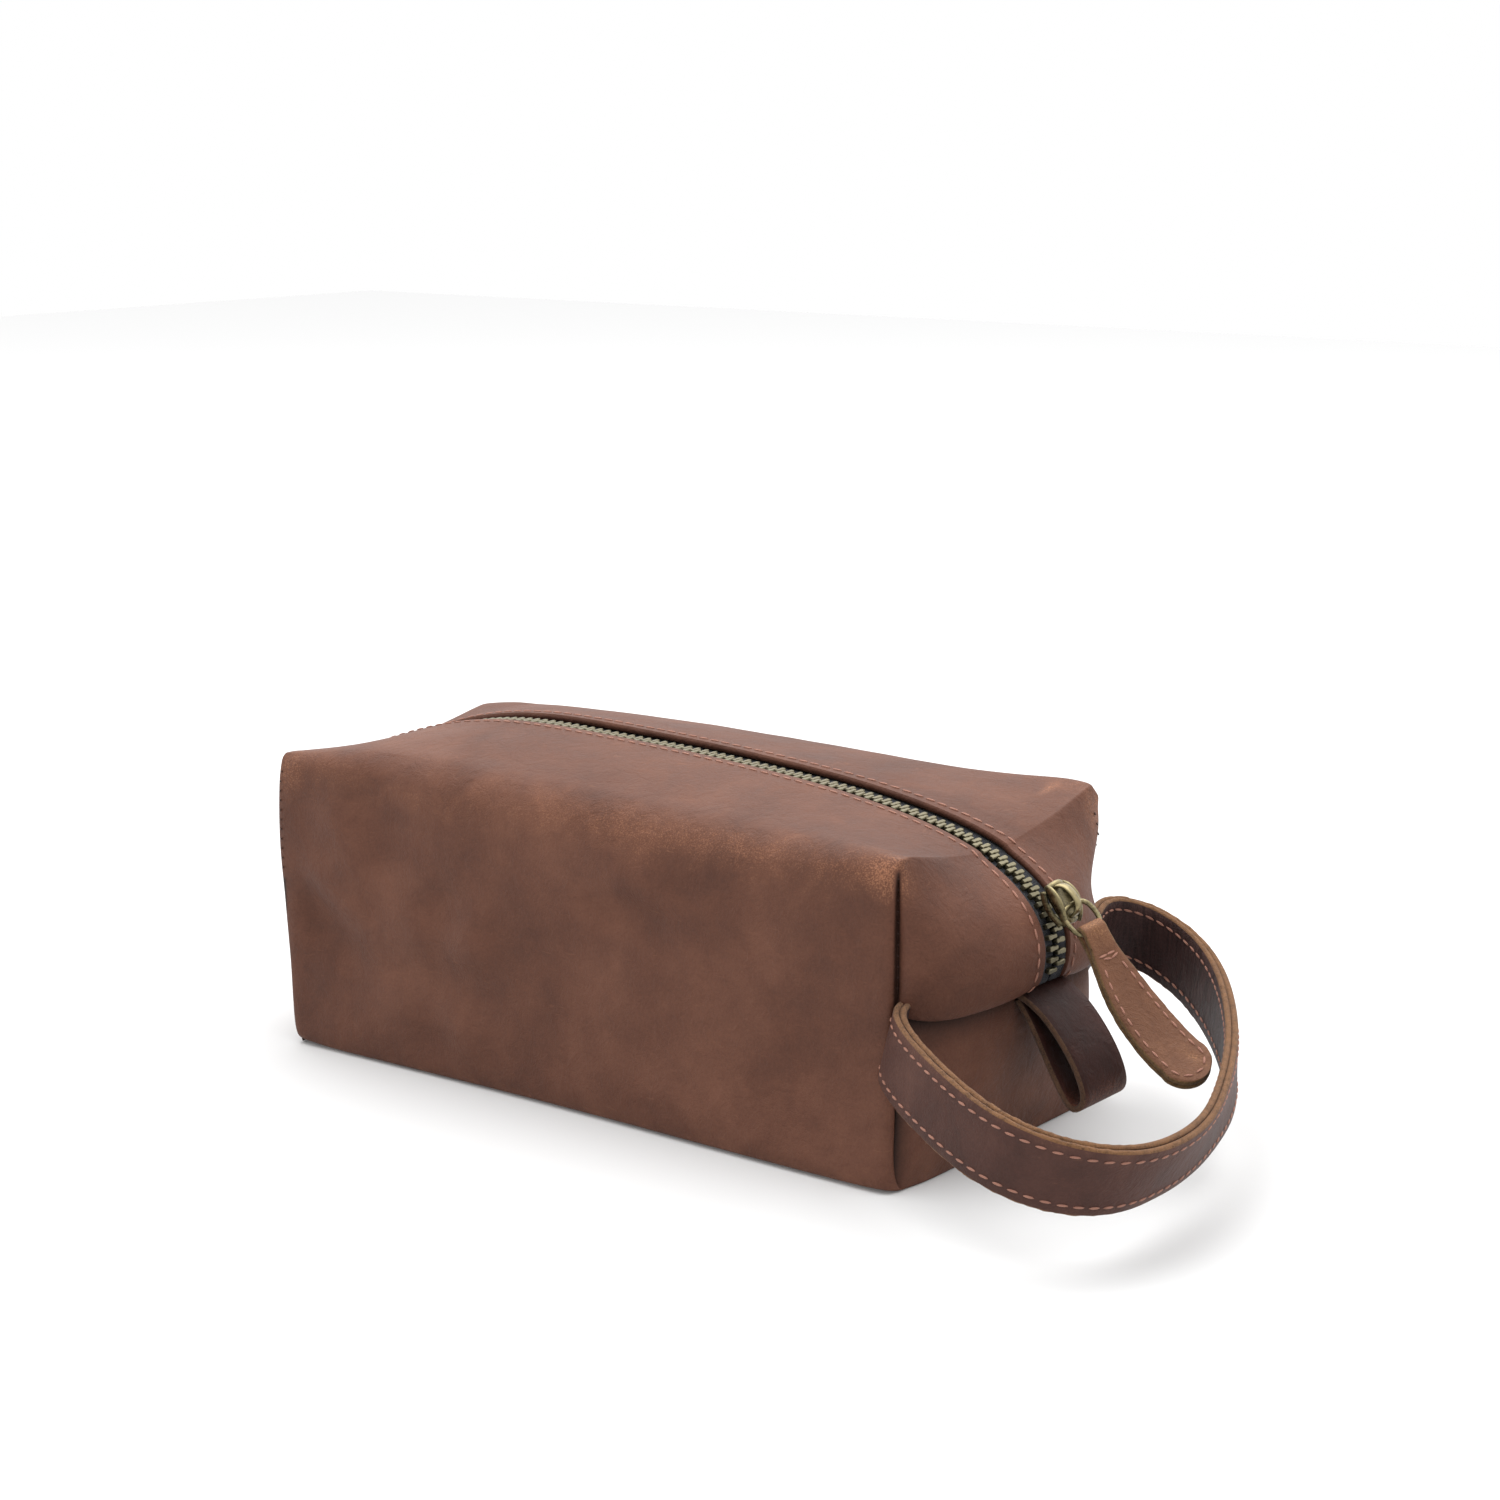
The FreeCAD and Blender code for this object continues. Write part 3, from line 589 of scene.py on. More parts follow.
def build_half(side):
    """One half of the hide as a quad cage: top, long face and half the base, with the folded-down ends.

    The corner seam's points belong to both the long face and the folded-down end."""
    left = [round_end(step, -1, side) for step in reversed(range(END_STEPS))]
    right = [round_end(step, 1, side) for step in range(END_STEPS)]
    tube = [section(x, side) for x in TUBE_X]
    columns = [tucked(left[0], -1)] + left + tube + right + [tucked(right[-1], 1)]
    first, last = END_STEPS + 1, END_STEPS + len(tube)
    index, points, faces, seam = {}, [], [], []
    for c, column in enumerate(columns):
        for k, point in enumerate(column):
            step = first - 1 - c if c < first else c - last - 1
            if 0 <= step < END_STEPS and k == SEAM_AT:
                continue
            index[c, k] = len(points)
            points.append(point)
    for step in range(END_STEPS):
        index[first - 1 - step, SEAM_AT] = index[first, FACE_SEAM_AT + step]
        index[last + 1 + step, SEAM_AT] = index[last, FACE_SEAM_AT + step]
    index[0, SEAM_AT], index[len(columns) - 1, SEAM_AT] = index[1, SEAM_AT], index[len(columns) - 2, SEAM_AT]
    for c in range(len(columns) - 1):
        ends = c < first or c >= last
        for k in range(SEAM_AT if ends else len(tube[0]) - 1):
            quad = [index[c, k], index[c + 1, k], index[c + 1, k + 1], index[c, k + 1]]
            quad = [v for n, v in enumerate(quad) if v not in quad[:n]]
            faces.append(quad[::-1] if side == FRONT else quad)
    for c in (first, last):
        seam += [(index[c, k], index[c, k + 1]) for k in range(SEAM_AT, SEAM_AT + END_STEPS)]
    return points, faces, seam


# soft folds in the front face: both ends (x, z), half width and depth
FOLDS = [((-129, 60), (-84, 25), 8.0, 2.835), ((-88, 36), (-20, 30), 9.0, 2.295),
         ((-51, 70), (-55, 32), 8.0, 2.025), ((-64, 26), (-48, -2), 8.0, 1.89),
         ((6, 71), (44, 65), 7.0, 2.565), ((-106, 92), (-86, 56), 11.0, -2.43)]


def folded(p):
    """Depth of the soft folds at each point."""
    total = 0
    for (x0, z0), (x1, z1), half, depth in FOLDS:
        d, run = np.array((x1 - x0, z1 - z0), float), math.hypot(x1 - x0, z1 - z0)
        d /= run
        along = (p[:, 0] - x0) * d[0] + (p[:, 2] - z0) * d[1]
        aside = (p[:, 2] - z0) * d[0] - (p[:, 0] - x0) * d[1]
        taper = smooth_step(along, -0.1 * run, 0.4 * run) * smooth_step(-along, -1.1 * run, -0.6 * run)
        total = total - depth * taper * (hill(aside, 0, half) - 0.7 * hill(aside, 1.7 * half, half))
    return total


def crumple(obj, side):
    """Gentle waves and hollows of used leather, faded out at the seams, the zip and the base."""
    p, n = points_of(obj), normals_of(obj)
    calm = smooth_step(p[:, 2], 1.0, 16) * smooth_step(np.abs(p[:, 1]), 8, 20)
    calm = calm * (1 - 0.8 * smooth_step(np.abs(p[:, 0]), 112, 122))
    wave = 0
    for height, sizes, seed in ((0.75, (52, 60, 40), 3), (0.34, (24, 30, 19), 8), (0.12, (10, 12, 9), 14)):
        wave = wave + height * soft_noise(p, sizes, seed)
    wave = wave * (0.75 + 0.75 * smooth_step(-p[:, 0], 20, 110))
    if side == FRONT:
        wave = wave + folded(p) * (np.abs(p[:, 1]) > 48)
    return p + n * (wave * calm)[:, None]


def seam_shade_of(p):
    """Painted shade: how deep in a seam each point lies, in the corner seams and on the underside of the
    folded-down top; the leather is darkened there to stand in for the shade that falls in them.
    """
    x, y, z = np.abs(p[:, 0]), np.abs(p[:, 1]), p[:, 2]
    depth = hill(x, 122.0, 0.9) * smooth_step(-y, -54.2, -52.6) * smooth_step(y, 48, 50)
    depth = depth * smooth_step(-z, -97, -95)
    under = smooth_step(np.interp(y, CROSS_SEAM_Y, CROSS_SEAM_Z) - z, -1.2, 0.2)
    under = under * smooth_step(x, 123.5, 125) * smooth_step(z, 44, 46)
    return np.clip(0.85 * depth + 0.9 * under, 0, 1)


def wear_of(p):
    """Rubbed zones: the long rolls, the corners' tops, the lower edges and a scuff by the far corner."""
    x, y, z = np.abs(p[:, 0]), np.abs(p[:, 1]), p[:, 2]
    roll = hill(z, 95, 8.0) * smooth_step(y, 42, 53) * (0.55 + 0.45 * smooth_step(p[:, 0], -70, 40))
    corner = hill(x, 121, 6.0) * hill(z, 94, 9) * smooth_step(y, 46, 53)
    bottom = hill(z, 0, 3.0) * smooth_step(y, 46, 53)
    scuff = hill(p[:, 0], 113, 1.6) * hill(p[:, 1], 44, 5.0) * (z > 80)
    return np.clip(0.48 * roll + 0.4 * corner + 0.35 * bottom + 0.9 * scuff, 0, 1)


for side, word in HALVES:
    cage, quads, seam = build_half(side)
    shell = new_object("bag_hide_" + word, cage, quads, materials=(HIDE, SUEDE, EDGE))
    crease(shell, seam, 0.9)
    subdivide(shell, 3)
    set_points(shell, crumple(shell, side))
    thicken(shell, 2.1)
    p = points_of(shell)
    # painted shade: the corner seams and the underside of the folded-down top go in as negative values, which
    # the leather material darkens to stand in for shade; elsewhere the values are wear
    seam_shade = seam_shade_of(p)
    keep_rest(shell, wear_of(p) * (1 - seam_shade) - seam_shade)
    set_weights(shell)
    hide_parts("top_flap_" + word)
    if side == FRONT:
        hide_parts("bag_leather")


def end_panel(hand, name):
    """The lower panel of an end, tucked under the folded-down top and into the corner seams."""
    rows = 10
    half_row = [51.4, 50.6, 47.5, 42, 34, 25, 15, 6]
    ys = [-y for y in half_row] + [0] + half_row[::-1]
    points, faces, seam_shade_weight = [], [], []
    for r in range(rows):
        f = r / (rows - 1)
        for y in ys:
            a = abs(y)
            # painted shade: the corner columns and the two rows tucked under the folded-down top get a weight
            # that darkens the leather there, standing in for shade
            seam_shade_weight.append(1.0 if a > 51 else max((0.95, 0.35)[r] if r < 2 else 0.0, 0.45 * (a > 50)))
            share = float(np.interp(a, END_Y, END_OUT[hand]))
            top_z = float(np.interp(a, CROSS_SEAM_Y, CROSS_SEAM_Z)) + 2.5
            top_x = 123.0 + 19.2 * share - 3.6
            low_x = 123.4 + 2.2 * float(smooth_step(54 - a, 1, 14))
            if a > 51:
                top_x, low_x = 120.9, 121.2
            elif a > 50:
                top_x, low_x = 123.0, 123.6
            x = top_x + (low_x - top_x) * f ** 1.2 + 2.4 * math.sin(math.pi * min(1, f * 1.05)) * share
            x -= 1.4 * hill(f, 0, 0.08) * (a < 50)
            z = top_z * (1 - f) + 1.4 * f
            if r == rows - 1:
                x, z = x - 1.3, 0.35
            reach = (face_y(hand * 123, z, FRONT if y < 0 else BACK) + 0.3) / 51.4
            points.append((hand * x + end_shift(hand * x, z), y * (1 + (reach - 1) * (a / 51.4) ** 3), z))
    n = len(ys)
    for r in range(rows - 1):
        for c in range(n - 1):
            quad = [r * n + c, r * n + c + 1, (r + 1) * n + c + 1, (r + 1) * n + c]
            faces.append(quad if hand < 0 else quad[::-1])
    panel = new_object(name, points, faces, materials=(HIDE, SUEDE, EDGE))
    panel.data.attributes.new("seam_shade_weight", "FLOAT", "POINT").data.foreach_set("value", seam_shade_weight)
    subdivide(panel, 3)
    p, normal = points_of(panel), normals_of(panel)
    calm = smooth_step(p[:, 2], 2, 14) * smooth_step(54 - np.abs(p[:, 1]), 1, 12)
    p += normal * ((0.6 * soft_noise(p, 26, 21) + 0.25 * soft_noise(p, 11, 5)) * calm)[:, None]
    set_points(panel, p)
    thicken(panel, 2.0)
    p = points_of(panel)
    # painted shade: the weight goes in as negative values, which the leather material darkens; the positive
    # part is wear along the foot
    seam_shade = np.zeros(len(p))
    panel.data.attributes["seam_shade_weight"].data.foreach_get("value", seam_shade)
    keep_rest(panel, 0.35 * hill(p[:, 2], 0, 4) * (1 - seam_shade) - np.clip(seam_shade, 0, 0.9))
    panel.data.attributes.remove(panel.data.attributes["seam_shade_weight"])
    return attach(panel, "bag")


end_panel(1, "end_panel_right")
end_panel(-1, "end_panel_left")


# ---- strips, stitches and teeth that follow a line -----------------------------------------------

def directions(path):
    return unit(np.gradient(path, axis=0))


def strip(name, path, across, width, thick, materials, widths=None, bevel=0.45, shift=0.0, fuzz=0.0):
    """Flat strip swept along a path; across is its width direction at each point. Its narrow sides take
    the second material."""
    across = np.broadcast_to(across, path.shape)
    up = unit(np.cross(directions(path), across))
    widths = np.full(len(path), float(width)) if widths is None else np.asarray(widths, float)
    half = thick / 2
    b = min(bevel, half * 0.95)
    shares = np.linspace(-1, 1, 9)
    # round the section: share of the width, distance past it, height, and 1 on the narrow sides
    ring = [(t, 0.0, half, 0) for t in shares] + [(1.0, b, half * 0.45, 1), (1.0, b, -half * 0.45, 1)] \
        + [(t, 0.0, -half, 0) for t in -shares] + [(-1.0, -b, -half * 0.45, 1), (-1.0, -b, half * 0.45, 1)]
    points = []
    for place, sideways, lifted, wide in zip(path, across, up, widths):
        for share, extra, lift, _ in ring:
            points.append(place + sideways * (share * (wide / 2 - b) + extra) + lifted * (lift + shift))
    points = np.array(points)
    faces = tube_faces(len(path), len(ring))
    kinds = [int(a[3] or b[3]) for a, b in zip(ring, ring[1:] + ring[:1])] * (len(path) - 1) + [1, 1]
    if fuzz:
        edge = np.tile([kind for *_, kind in ring], len(path)).astype(float)
        lean = np.repeat(across, len(ring), 0) * np.tile([np.sign(r[0]) for r in ring], len(path))[:, None]
        points = points + lean * (edge * fuzz * soft_noise(points, 1.4, 33))[:, None]
    return new_object(name, points, faces, kinds, materials)


def bead(long, wide, tall, rings=5, sides=8):
    """A stitch: a little pillow, long in x, lying on z = 0."""
    points = []
    for i in range(rings):
        t = -1 + 2 * i / (rings - 1)
        size = math.sqrt(max(0.0, 1 - abs(t * 0.96) ** 2.6))
        for j in range(sides):
            a = 2 * math.pi * j / sides
            points.append((t * long / 2, math.cos(a) * wide / 2 * size, math.sin(a) * tall / 2 * size))
    return np.array(points), tube_faces(rings, sides)


def join_shapes(shapes):
    """One list of points and one of faces from several shapes."""
    points, faces, total = [], [], 0
    for more, quads in shapes:
        points.append(np.asarray(more, float))
        faces += [tuple(v + total for v in face) for face in quads]
        total += len(more)
    return np.concatenate(points), faces


def scatter(name, shape, places, axes, material):
    """Copies of one small shape at places; axes are its x, y and z directions at each place. Also returns
    how many points a copy has."""
    base, base_faces = shape
    copies = [(place + base @ np.array(axis), base_faces) for place, axis in zip(places, axes)]
    points, faces = join_shapes(copies)
    return new_object(name, points, faces, materials=(material,)), len(base)


STITCH_PITCH = 4.45


def stitch_axes(along, across, up, slant):
    leaning = along * math.cos(slant) + across * math.sin(slant)
    return leaning, np.cross(up, leaning), up


def stitch_row(path, across, up, start, stop, offset, lift, slant=0.09):
    """Places and axes of a row of stitches beside a path; offset is sideways, lift off the path."""
    run, along = run_of(path), directions(path)
    places, axes = [], []
    for at in np.arange(start, min(stop, run[-1]), STITCH_PITCH):
        d, c, u = (unit(at_run(at, run, v)) for v in (along, across, up))
        places.append(at_run(at, run, path) + c * offset + u * lift)
        axes.append(stitch_axes(d, c, u, slant))
    return places, axes


# ---- zip -----------------------------------------------------------------------------------------

def zip_lines(depth):
    """The zip line in space, its direction and outward normal, sunk by a depth."""
    flat = zip_path[::4]
    path = np.stack([flat[:, 0], np.zeros(len(flat)), flat[:, 1]], 1)
    along = directions(path)
    up = np.cross((0, 1, 0), along)
    up = np.where(np.sum(up * (path - (0, 0, 40)), axis=1)[:, None] < 0, -up, up)
    return path - up * depth, along, up


TAPE_SUNK, CHAIN_SUNK = 2.6, 1.7
tape_points = resample(zip_lines(TAPE_SUNK)[0], 260)
for side, word in HALVES:
    tape = strip("zip_tape_" + word + "_woven", tape_points + (0, side * 5.6, 0), (0, side * 1.0, 0), 10.4,
                 0.7, (TAPE, TAPE), bevel=0.2)
    p = points_of(tape)
    keep_rest(tape)
    set_weights(tape)
    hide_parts("zip_tape_" + word)
    if side == FRONT:
        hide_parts("zip_tape_end_left", "zip_tape_end_right")

TOOTH_PITCH = 3.4
SLIDER_RUN = zip_run - 33.0


def tooth_shape(side):
    """One zip tooth: a stout foot on the tape narrowing to a rounded head past the middle."""
    outline = [(3.2, 0.62), (2.7, 0.84), (1.1, 0.78), (0.2, 0.58), (-0.9, 0.76), (-1.3, 0.5)]
    levels = ((-0.9, 0.8), (-0.6, 1.0), (0.75, 1.0), (1.1, 0.74))
    loop = [(y, x) for y, x in outline] + [(y, -x) for y, x in reversed(outline)]
    points = [(x * grow, side * (1.3 + (y - 1.3) * (0.9 + 0.1 * grow)), level)
              for level, grow in levels for y, x in loop]
    faces = tube_faces(len(levels), len(loop))
    return np.array(points), faces if side > 0 else [face[::-1] for face in faces]


chain = zip_lines(CHAIN_SUNK)
chain_run = run_of(chain[0])
for side, word in HALVES:
    places, axes = [], []
    first = 5.0 + (0 if side == FRONT else TOOTH_PITCH / 2)
    for at in np.arange(first, chain_run[-1] - 4.0, TOOTH_PITCH):
        p, d, u = (at_run(at, chain_run, values) for values in chain)
        past = float(smooth_step(at, SLIDER_RUN + 1, SLIDER_RUN + 12))
        places.append(p + (0, side * 1.1 * past, 0))
        axes.append((unit(d), (0, 1.0, 0), unit(u)))
    teeth, count = scatter("zip_teeth_row_" + word, tooth_shape(side), places, axes, TOOTH)
    teeth.data.polygons.foreach_set("use_smooth", [False] * len(teeth.data.polygons))
    local = np.tile(tooth_shape(side)[0][:, 2], len(places))
    keep_rest(teeth, smooth_step(local, 0.2, 1.0))
    set_weights(teeth)
    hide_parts("zip_teeth_" + word)
    if side == FRONT:
        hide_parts("zip_teeth_ends", "zip_end_stops")


def joint_place(name):
    found = [joint for joint in frame["joints"] if joint["name"] == name][0]
    return np.array(found["pos_m"]) / MM


# ---- stitching on the hide -----------------------------------------------------------------------

def tree_of(obj):
    return BVHTree.FromObject(obj, bpy.context.evaluated_depsgraph_get())


DROP_REACH = 30.0


def drop(tree, start, direction):
    """Where a line from start meets the leather, and the leather's normal there."""
    hit, normal, _, _ = tree.ray_cast(Vector(start) * MM, Vector(direction).normalized(), DROP_REACH * MM)
    return (None, None) if hit is None else (np.array(hit) / MM, np.array(normal))


def surface_row(tree, starts, direction_of, spacing):
    """Points on the leather below a line of start points, spaced evenly, with normals."""
    places, normals = [], []
    for start, direction in zip(starts, direction_of):
        place, normal = drop(tree, start, direction)
        if place is not None:
            places.append(place)
            normals.append(normal if np.dot(normal, direction) < 0 else -normal)
    run = run_of(places)
    at = np.arange(spacing * 0.4, run[-1], spacing)
    return at_run(at, run, np.array(places)), unit(at_run(at, run, np.array(normals)))


def lay_stitches(places, normals, slant):
    axes = []
    for d, u in zip(directions(places), normals):
        c = unit(np.cross(u, d))
        axes.append(stitch_axes(np.cross(c, u), c, u, slant))
    return axes


STITCH = bead(3.3, 0.85, 0.62)
for side, word in HALVES:
    tree = tree_of(bpy.data.objects["bag_hide_" + word])
    path, _, outward = zip_lines(-12.0)
    starts = path + (0, side * (SLOT + 3.3), 0)
    places, normals = surface_row(tree, starts, -outward, STITCH_PITCH)
    axes = lay_stitches(places, normals, 0.1 * side)
    row, count = scatter("zip_seam_stitches_" + word, STITCH, places + normals * 0.12, axes, THREAD)
    keep_rest(row)
    set_weights(row)
    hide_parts("zip_stitching_" + word)
    if side == FRONT:
        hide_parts("zip_stitching_ends")

SEAM_STITCH = bead(2.3, 0.6, 0.5)
places, axes = [], []
for hand in (-1, 1):
    for side, word in HALVES:
        tree = tree_of(bpy.data.objects["bag_hide_" + word])
        for z in np.arange(60.5, 95, 3.3):
            aim = np.array((-hand * 0.70, -side * 0.71, 0))
            place, _ = drop(tree, np.array((hand * SEAM_X, side * SEAM_Y, z)) - aim * 12, aim)
            if place is not None:
                places.append(place - aim * 0.15)
                flat = unit((-hand * 0.71, side * 0.70, 0.25))
                axes.append((flat, np.cross(-aim, flat), -aim))
seams, _ = scatter("corner_seam_stitches", SEAM_STITCH, places, axes, DARK_THREAD)
keep_rest(seams)
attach(seams, "bag")

# ---- carry strap ---------------------------------------------------------------------------------

STRAP_WIDE, STRAP_LAYER, STRAP_TILT = 22.0, 1.95, math.radians(14)
strap_along = np.array((math.cos(STRAP_TILT), 0, -math.sin(STRAP_TILT)))
strap_up = np.array((math.sin(STRAP_TILT), 0, math.cos(STRAP_TILT)))
strap_root = np.array((120.5, 0, 46.3))
# the loop in its own plane: distance out from the end of the bag, and across; the last number lifts it
STRAP_LINE = [(1.2, -51.0, 0), (3.8, -57.5, 0), (10.5, -64.5, 0), (21, -71.4, 0), (40, -80.5, 0),
              (57, -85.2, 0), (71, -84.3, 0), (82, -79.0, 0), (90.5, -69.0, 0), (94.5, -54.0, 0),
              (92.8, -32.0, 0), (84.0, -6.0, 0), (70.0, 24.0, 0), (52.5, 52.5, 0), (35.0, 73.0, 0.6),
              (18.5, 83.0, 1.6), (5.0, 83.0, 2.8), (-2.0, 75.0, 3.8), (-1.4, 64.5, 4.4), (1.5, 56.5, 4.6),
              (2.6, 51.5, 4.6)]
strap_flat = spline(STRAP_LINE, 300)
strap_path = strap_root + strap_flat[:, :1] * strap_along + strap_flat[:, 1:2] * (0, 1, 0) \
    + strap_flat[:, 2:3] * (0, 0, 1)
# at its near turn the strap leans out, with its upper edge kept in place
turn = np.linspace(0, 1, len(strap_path))
lean = np.interp(turn, (0, 0.25, 0.34, 0.42, 0.5, 0.6, 0.68, 0.82, 1), (0, 0, 14, 13, 0, -14, -12, 0, 0))
lean = np.radians(np.convolve(np.pad(lean, 15, "edge"), np.ones(31) / 31, "valid"))
outward = np.cross(directions(strap_path), strap_up)
strap_across = strap_up * np.cos(lean)[:, None] + outward * np.sin(lean)[:, None]
strap_path = strap_path + (strap_up - strap_across) * (STRAP_WIDE / 2)
strap_run = run_of(strap_path)[-1]


for name, shift, hide, node, wide in (
        ("strap_outer_layer", 1.0, STRAP, "handle_outer_strap", STRAP_WIDE),
        ("strap_inner_layer", -1.0, LINING, "handle_inner_strap", STRAP_WIDE + 0.5)):
    layer = strip(name, strap_path, strap_across, wide, STRAP_LAYER, (hide, EDGE), bevel=0.55, shift=shift,
                  fuzz=0.22)
    p = points_of(layer)
    keep_rest(layer, 0.3 * smooth_step(np.abs((p - strap_root) @ strap_up), 8.5, 11))
    set_weights(layer)
    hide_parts(node)

strap_out = unit(np.cross(directions(strap_path), strap_across))
places, axes = [], []
for offset in (-STRAP_WIDE / 2 + 3.1, STRAP_WIDE / 2 - 3.3):
    for face in (1, -1):
        lift = 1.0 + STRAP_LAYER / 2 + 0.08
        more = stitch_row(strap_path, strap_across, strap_out * face, 7.0, strap_run - 7.0, offset, lift)
        places, axes = places + more[0], axes + more[1]
rows, count = scatter("strap_stitches", bead(3.1, 0.8, 0.6), places, axes, THREAD)
keep_rest(rows)
set_weights(rows)
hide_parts("handle_stitching")

# ---- grip tab ------------------------------------------------------------------------------------

TAB_LINE = [(136.5, 52.5), (141.5, 50.5), (147.2, 46.6), (152.6, 41.0), (157.6, 34.0), (160.8, 27.2),
            (161.0, 22.2), (158.0, 20.3), (154.4, 23.6), (150.6, 29.8), (146.6, 37.0), (142.4, 44.4),
            (138.0, 50.5)]
tab_flat = spline(TAB_LINE, 90)
tab_path = np.stack([tab_flat[:, 0], np.full(90, 0.4), tab_flat[:, 1]], 1)
tab = strip("grip_tab", tab_path, (0, 1.0, 0), 25.0, 1.9, (TAB, TAB_EDGE), bevel=0.5, fuzz=0.18)
p = points_of(tab)
keep_rest(tab, 0.8 * hill(p[:, 2], 22, 5.0) * smooth_step(p[:, 0], 150, 158))
set_weights(tab)
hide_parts("end_tab")

# ---- slider, ring and pull -----------------------------------------------------------------------

ring_seat, pull_seat = joint_place("ring_swing"), joint_place("pull_swing")
SLIDER_SLOPE = math.radians(54)
slider_axes = np.array(((math.cos(SLIDER_SLOPE), 0, -math.sin(SLIDER_SLOPE)), (0, 1, 0),
                        (math.sin(SLIDER_SLOPE), 0, math.cos(SLIDER_SLOPE))))
slider_place = ring_seat - np.array((1.6, 0, 3.2)) @ slider_axes


def bar(path, wide, tall, across=(0, 1.0, 0), sides=10, closed=False, power=2.6):
    """A rounded bar swept along a path; widths and heights may change along it."""
    path = np.array(path, float)
    n = len(path)
    along = unit(np.roll(path, -1, 0) - np.roll(path, 1, 0)) if closed else directions(path)
    wide, tall = np.broadcast_to(wide, n), np.broadcast_to(tall, n)
    points = []
    for i in range(n):
        side = unit(across - along[i] * np.dot(across, along[i]))
        up = np.cross(along[i], side)
        for j in range(sides):
            a = 2 * math.pi * (j + 0.5) / sides
            c, d = signed_power(math.cos(a), 2 / power), signed_power(math.sin(a), 2 / power)
            points.append(path[i] + side * c * wide[i] / 2 + up * d * tall[i] / 2)
    return points, tube_faces(n, sides, closed)


def plate(outline, levels):
    """Stack of rings: one outline grown and lifted level by level, closed at both ends."""
    points = [(x * grow, y * grow, lift) for grow, lift in levels for x, y in outline]
    return points, tube_faces(len(levels), len(outline))


shield = []
for degrees in range(0, 360, 12):
    a = math.radians(degrees)
    shield.append((6.5 * signed_power(math.cos(a), 0.62),
                   4.9 * signed_power(math.sin(a), 0.72) * (1 - 0.10 * math.cos(a))))
DOME = [(0.86, -0.3), (0.98, 0.0), (1.0, 0.7), (0.96, 1.3), (0.80, 1.6), (0.5, 1.75), (0.2, 1.8)]
FLANGE = [(-6.0, 3.9, 0.9), (-4.6, 4.5, 1.9), (-2.0, 4.9, 2.5), (1.5, 4.9, 2.2), (4.4, 4.5, 1.2),
          (6.2, 4.0, -0.2)]
ARCH = [(-5.6, 0, 1.2), (-5.0, 0, 3.4), (-2.9, 0, 5.0), (0.4, 0, 5.7), (3.0, 0, 5.2), (4.3, 0, 3.6),
        (4.6, 0, 1.6)]
CROWN = [(-5.7, -4.0, 0.6), (-6.1, -2.0, 1.8), (-6.2, 0, 2.3), (-6.1, 2.0, 1.8), (-5.7, 4.0, 0.6)]
arch_wide = np.interp(np.arange(26), [0, 6, 13, 25], [5.6, 3.6, 3.0, 3.4])
parts = [plate(shield, DOME), bar(spline(ARCH, 26), arch_wide, 1.25, sides=12),
         bar(spline(CROWN, 16), 1.9, 2.2, (1.0, 0, 0.3), sides=12)]
for side in (-1, 1):
    rail = spline([(x, side * y, z) for x, y, z in FLANGE], 22)
    parts.append(bar(rail, 1.25, np.interp(np.arange(22), [0, 9, 21], [2.4, 3.4, 2.0]), sides=12))
    foot = spline([(-5.6, side * 4.9, -0.2), (-2, side * 5.35, -1.2), (2, side * 5.35, -1.2),
                   (5.8, side * 4.7, -0.6)], 14)
    parts.append(bar(foot, 0.9, 2.2, sides=12))
points, faces = join_shapes(parts)
slider = new_object("slider_body", slider_place + points @ slider_axes, faces, materials=(BRASS,))
keep_rest(slider, smooth_step(points[:, 2], 0.8, 4.5))
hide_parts("zip_slider")
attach(slider, "slider")

ring_long = float(np.linalg.norm(pull_seat - ring_seat))
ring_dir = unit(pull_seat - ring_seat)
RING_HALF, WIRE, RING_ROLL = 5.0, 1.6, math.radians(30)
ring_face = np.cross(ring_dir, (0, 1.0, 0))
ring_face = ring_face if ring_face[2] > 0 else -ring_face
ring_side = np.array((0, 1.0, 0)) * math.cos(RING_ROLL) + ring_face * math.sin(RING_ROLL)
loop = []
for degrees in range(0, 360, 10):
    a = math.radians(degrees)
    loop.append(ring_seat + ring_dir * (0.5 - 0.5 * signed_power(math.cos(a), 0.8)) * ring_long
                + ring_side * RING_HALF * signed_power(math.sin(a), 0.62))
points, faces = bar(loop, WIRE, WIRE, across=np.cross(ring_dir, ring_side), closed=True, power=2.0, sides=12)
ring = new_object("wire_ring", points, faces, materials=(BRASS,))
keep_rest(ring, np.full(len(points), 0.55))
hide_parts("pull_ring")
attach(ring, "ring")

PULL_WIDE, PULL_LAYER, PULL_ROLL = 16.4, 1.85, math.radians(29)
# the pull seen from the front, out and up from the ring
PULL_LINE = [(0, 0), (5.6, -8.2), (12.6, -17.6), (21.6, -27.0), (30.6, -33.8), (39.2, -38.2)]
pull_curve = spline(pull_seat[[0, 2]] + PULL_LINE, 150)
pull_middle = np.stack([pull_curve[:, 0], np.zeros(150), pull_curve[:, 1]], 1)
pull_s = np.linspace(0, run_of(pull_middle)[-1], 150)
pull_total = pull_s[-1]


def pull_frame(s):
    """Middle, direction, face normal and width direction of the pull at a distance from the ring."""
    d = unit(at_run(s, pull_s, directions(pull_middle)))
    level = np.array((0, 1.0, 0))
    normal = np.cross(d, level)
    normal = normal if normal[2] > 0 else -normal
    roll = RING_ROLL + (PULL_ROLL - RING_ROLL) * float(smooth_step(s, 1, 20))
    face = normal * math.cos(roll) - level * math.sin(roll)
    wide = level * math.cos(roll) + normal * math.sin(roll)
    return at_run(s, pull_s, pull_middle), d, face, wide


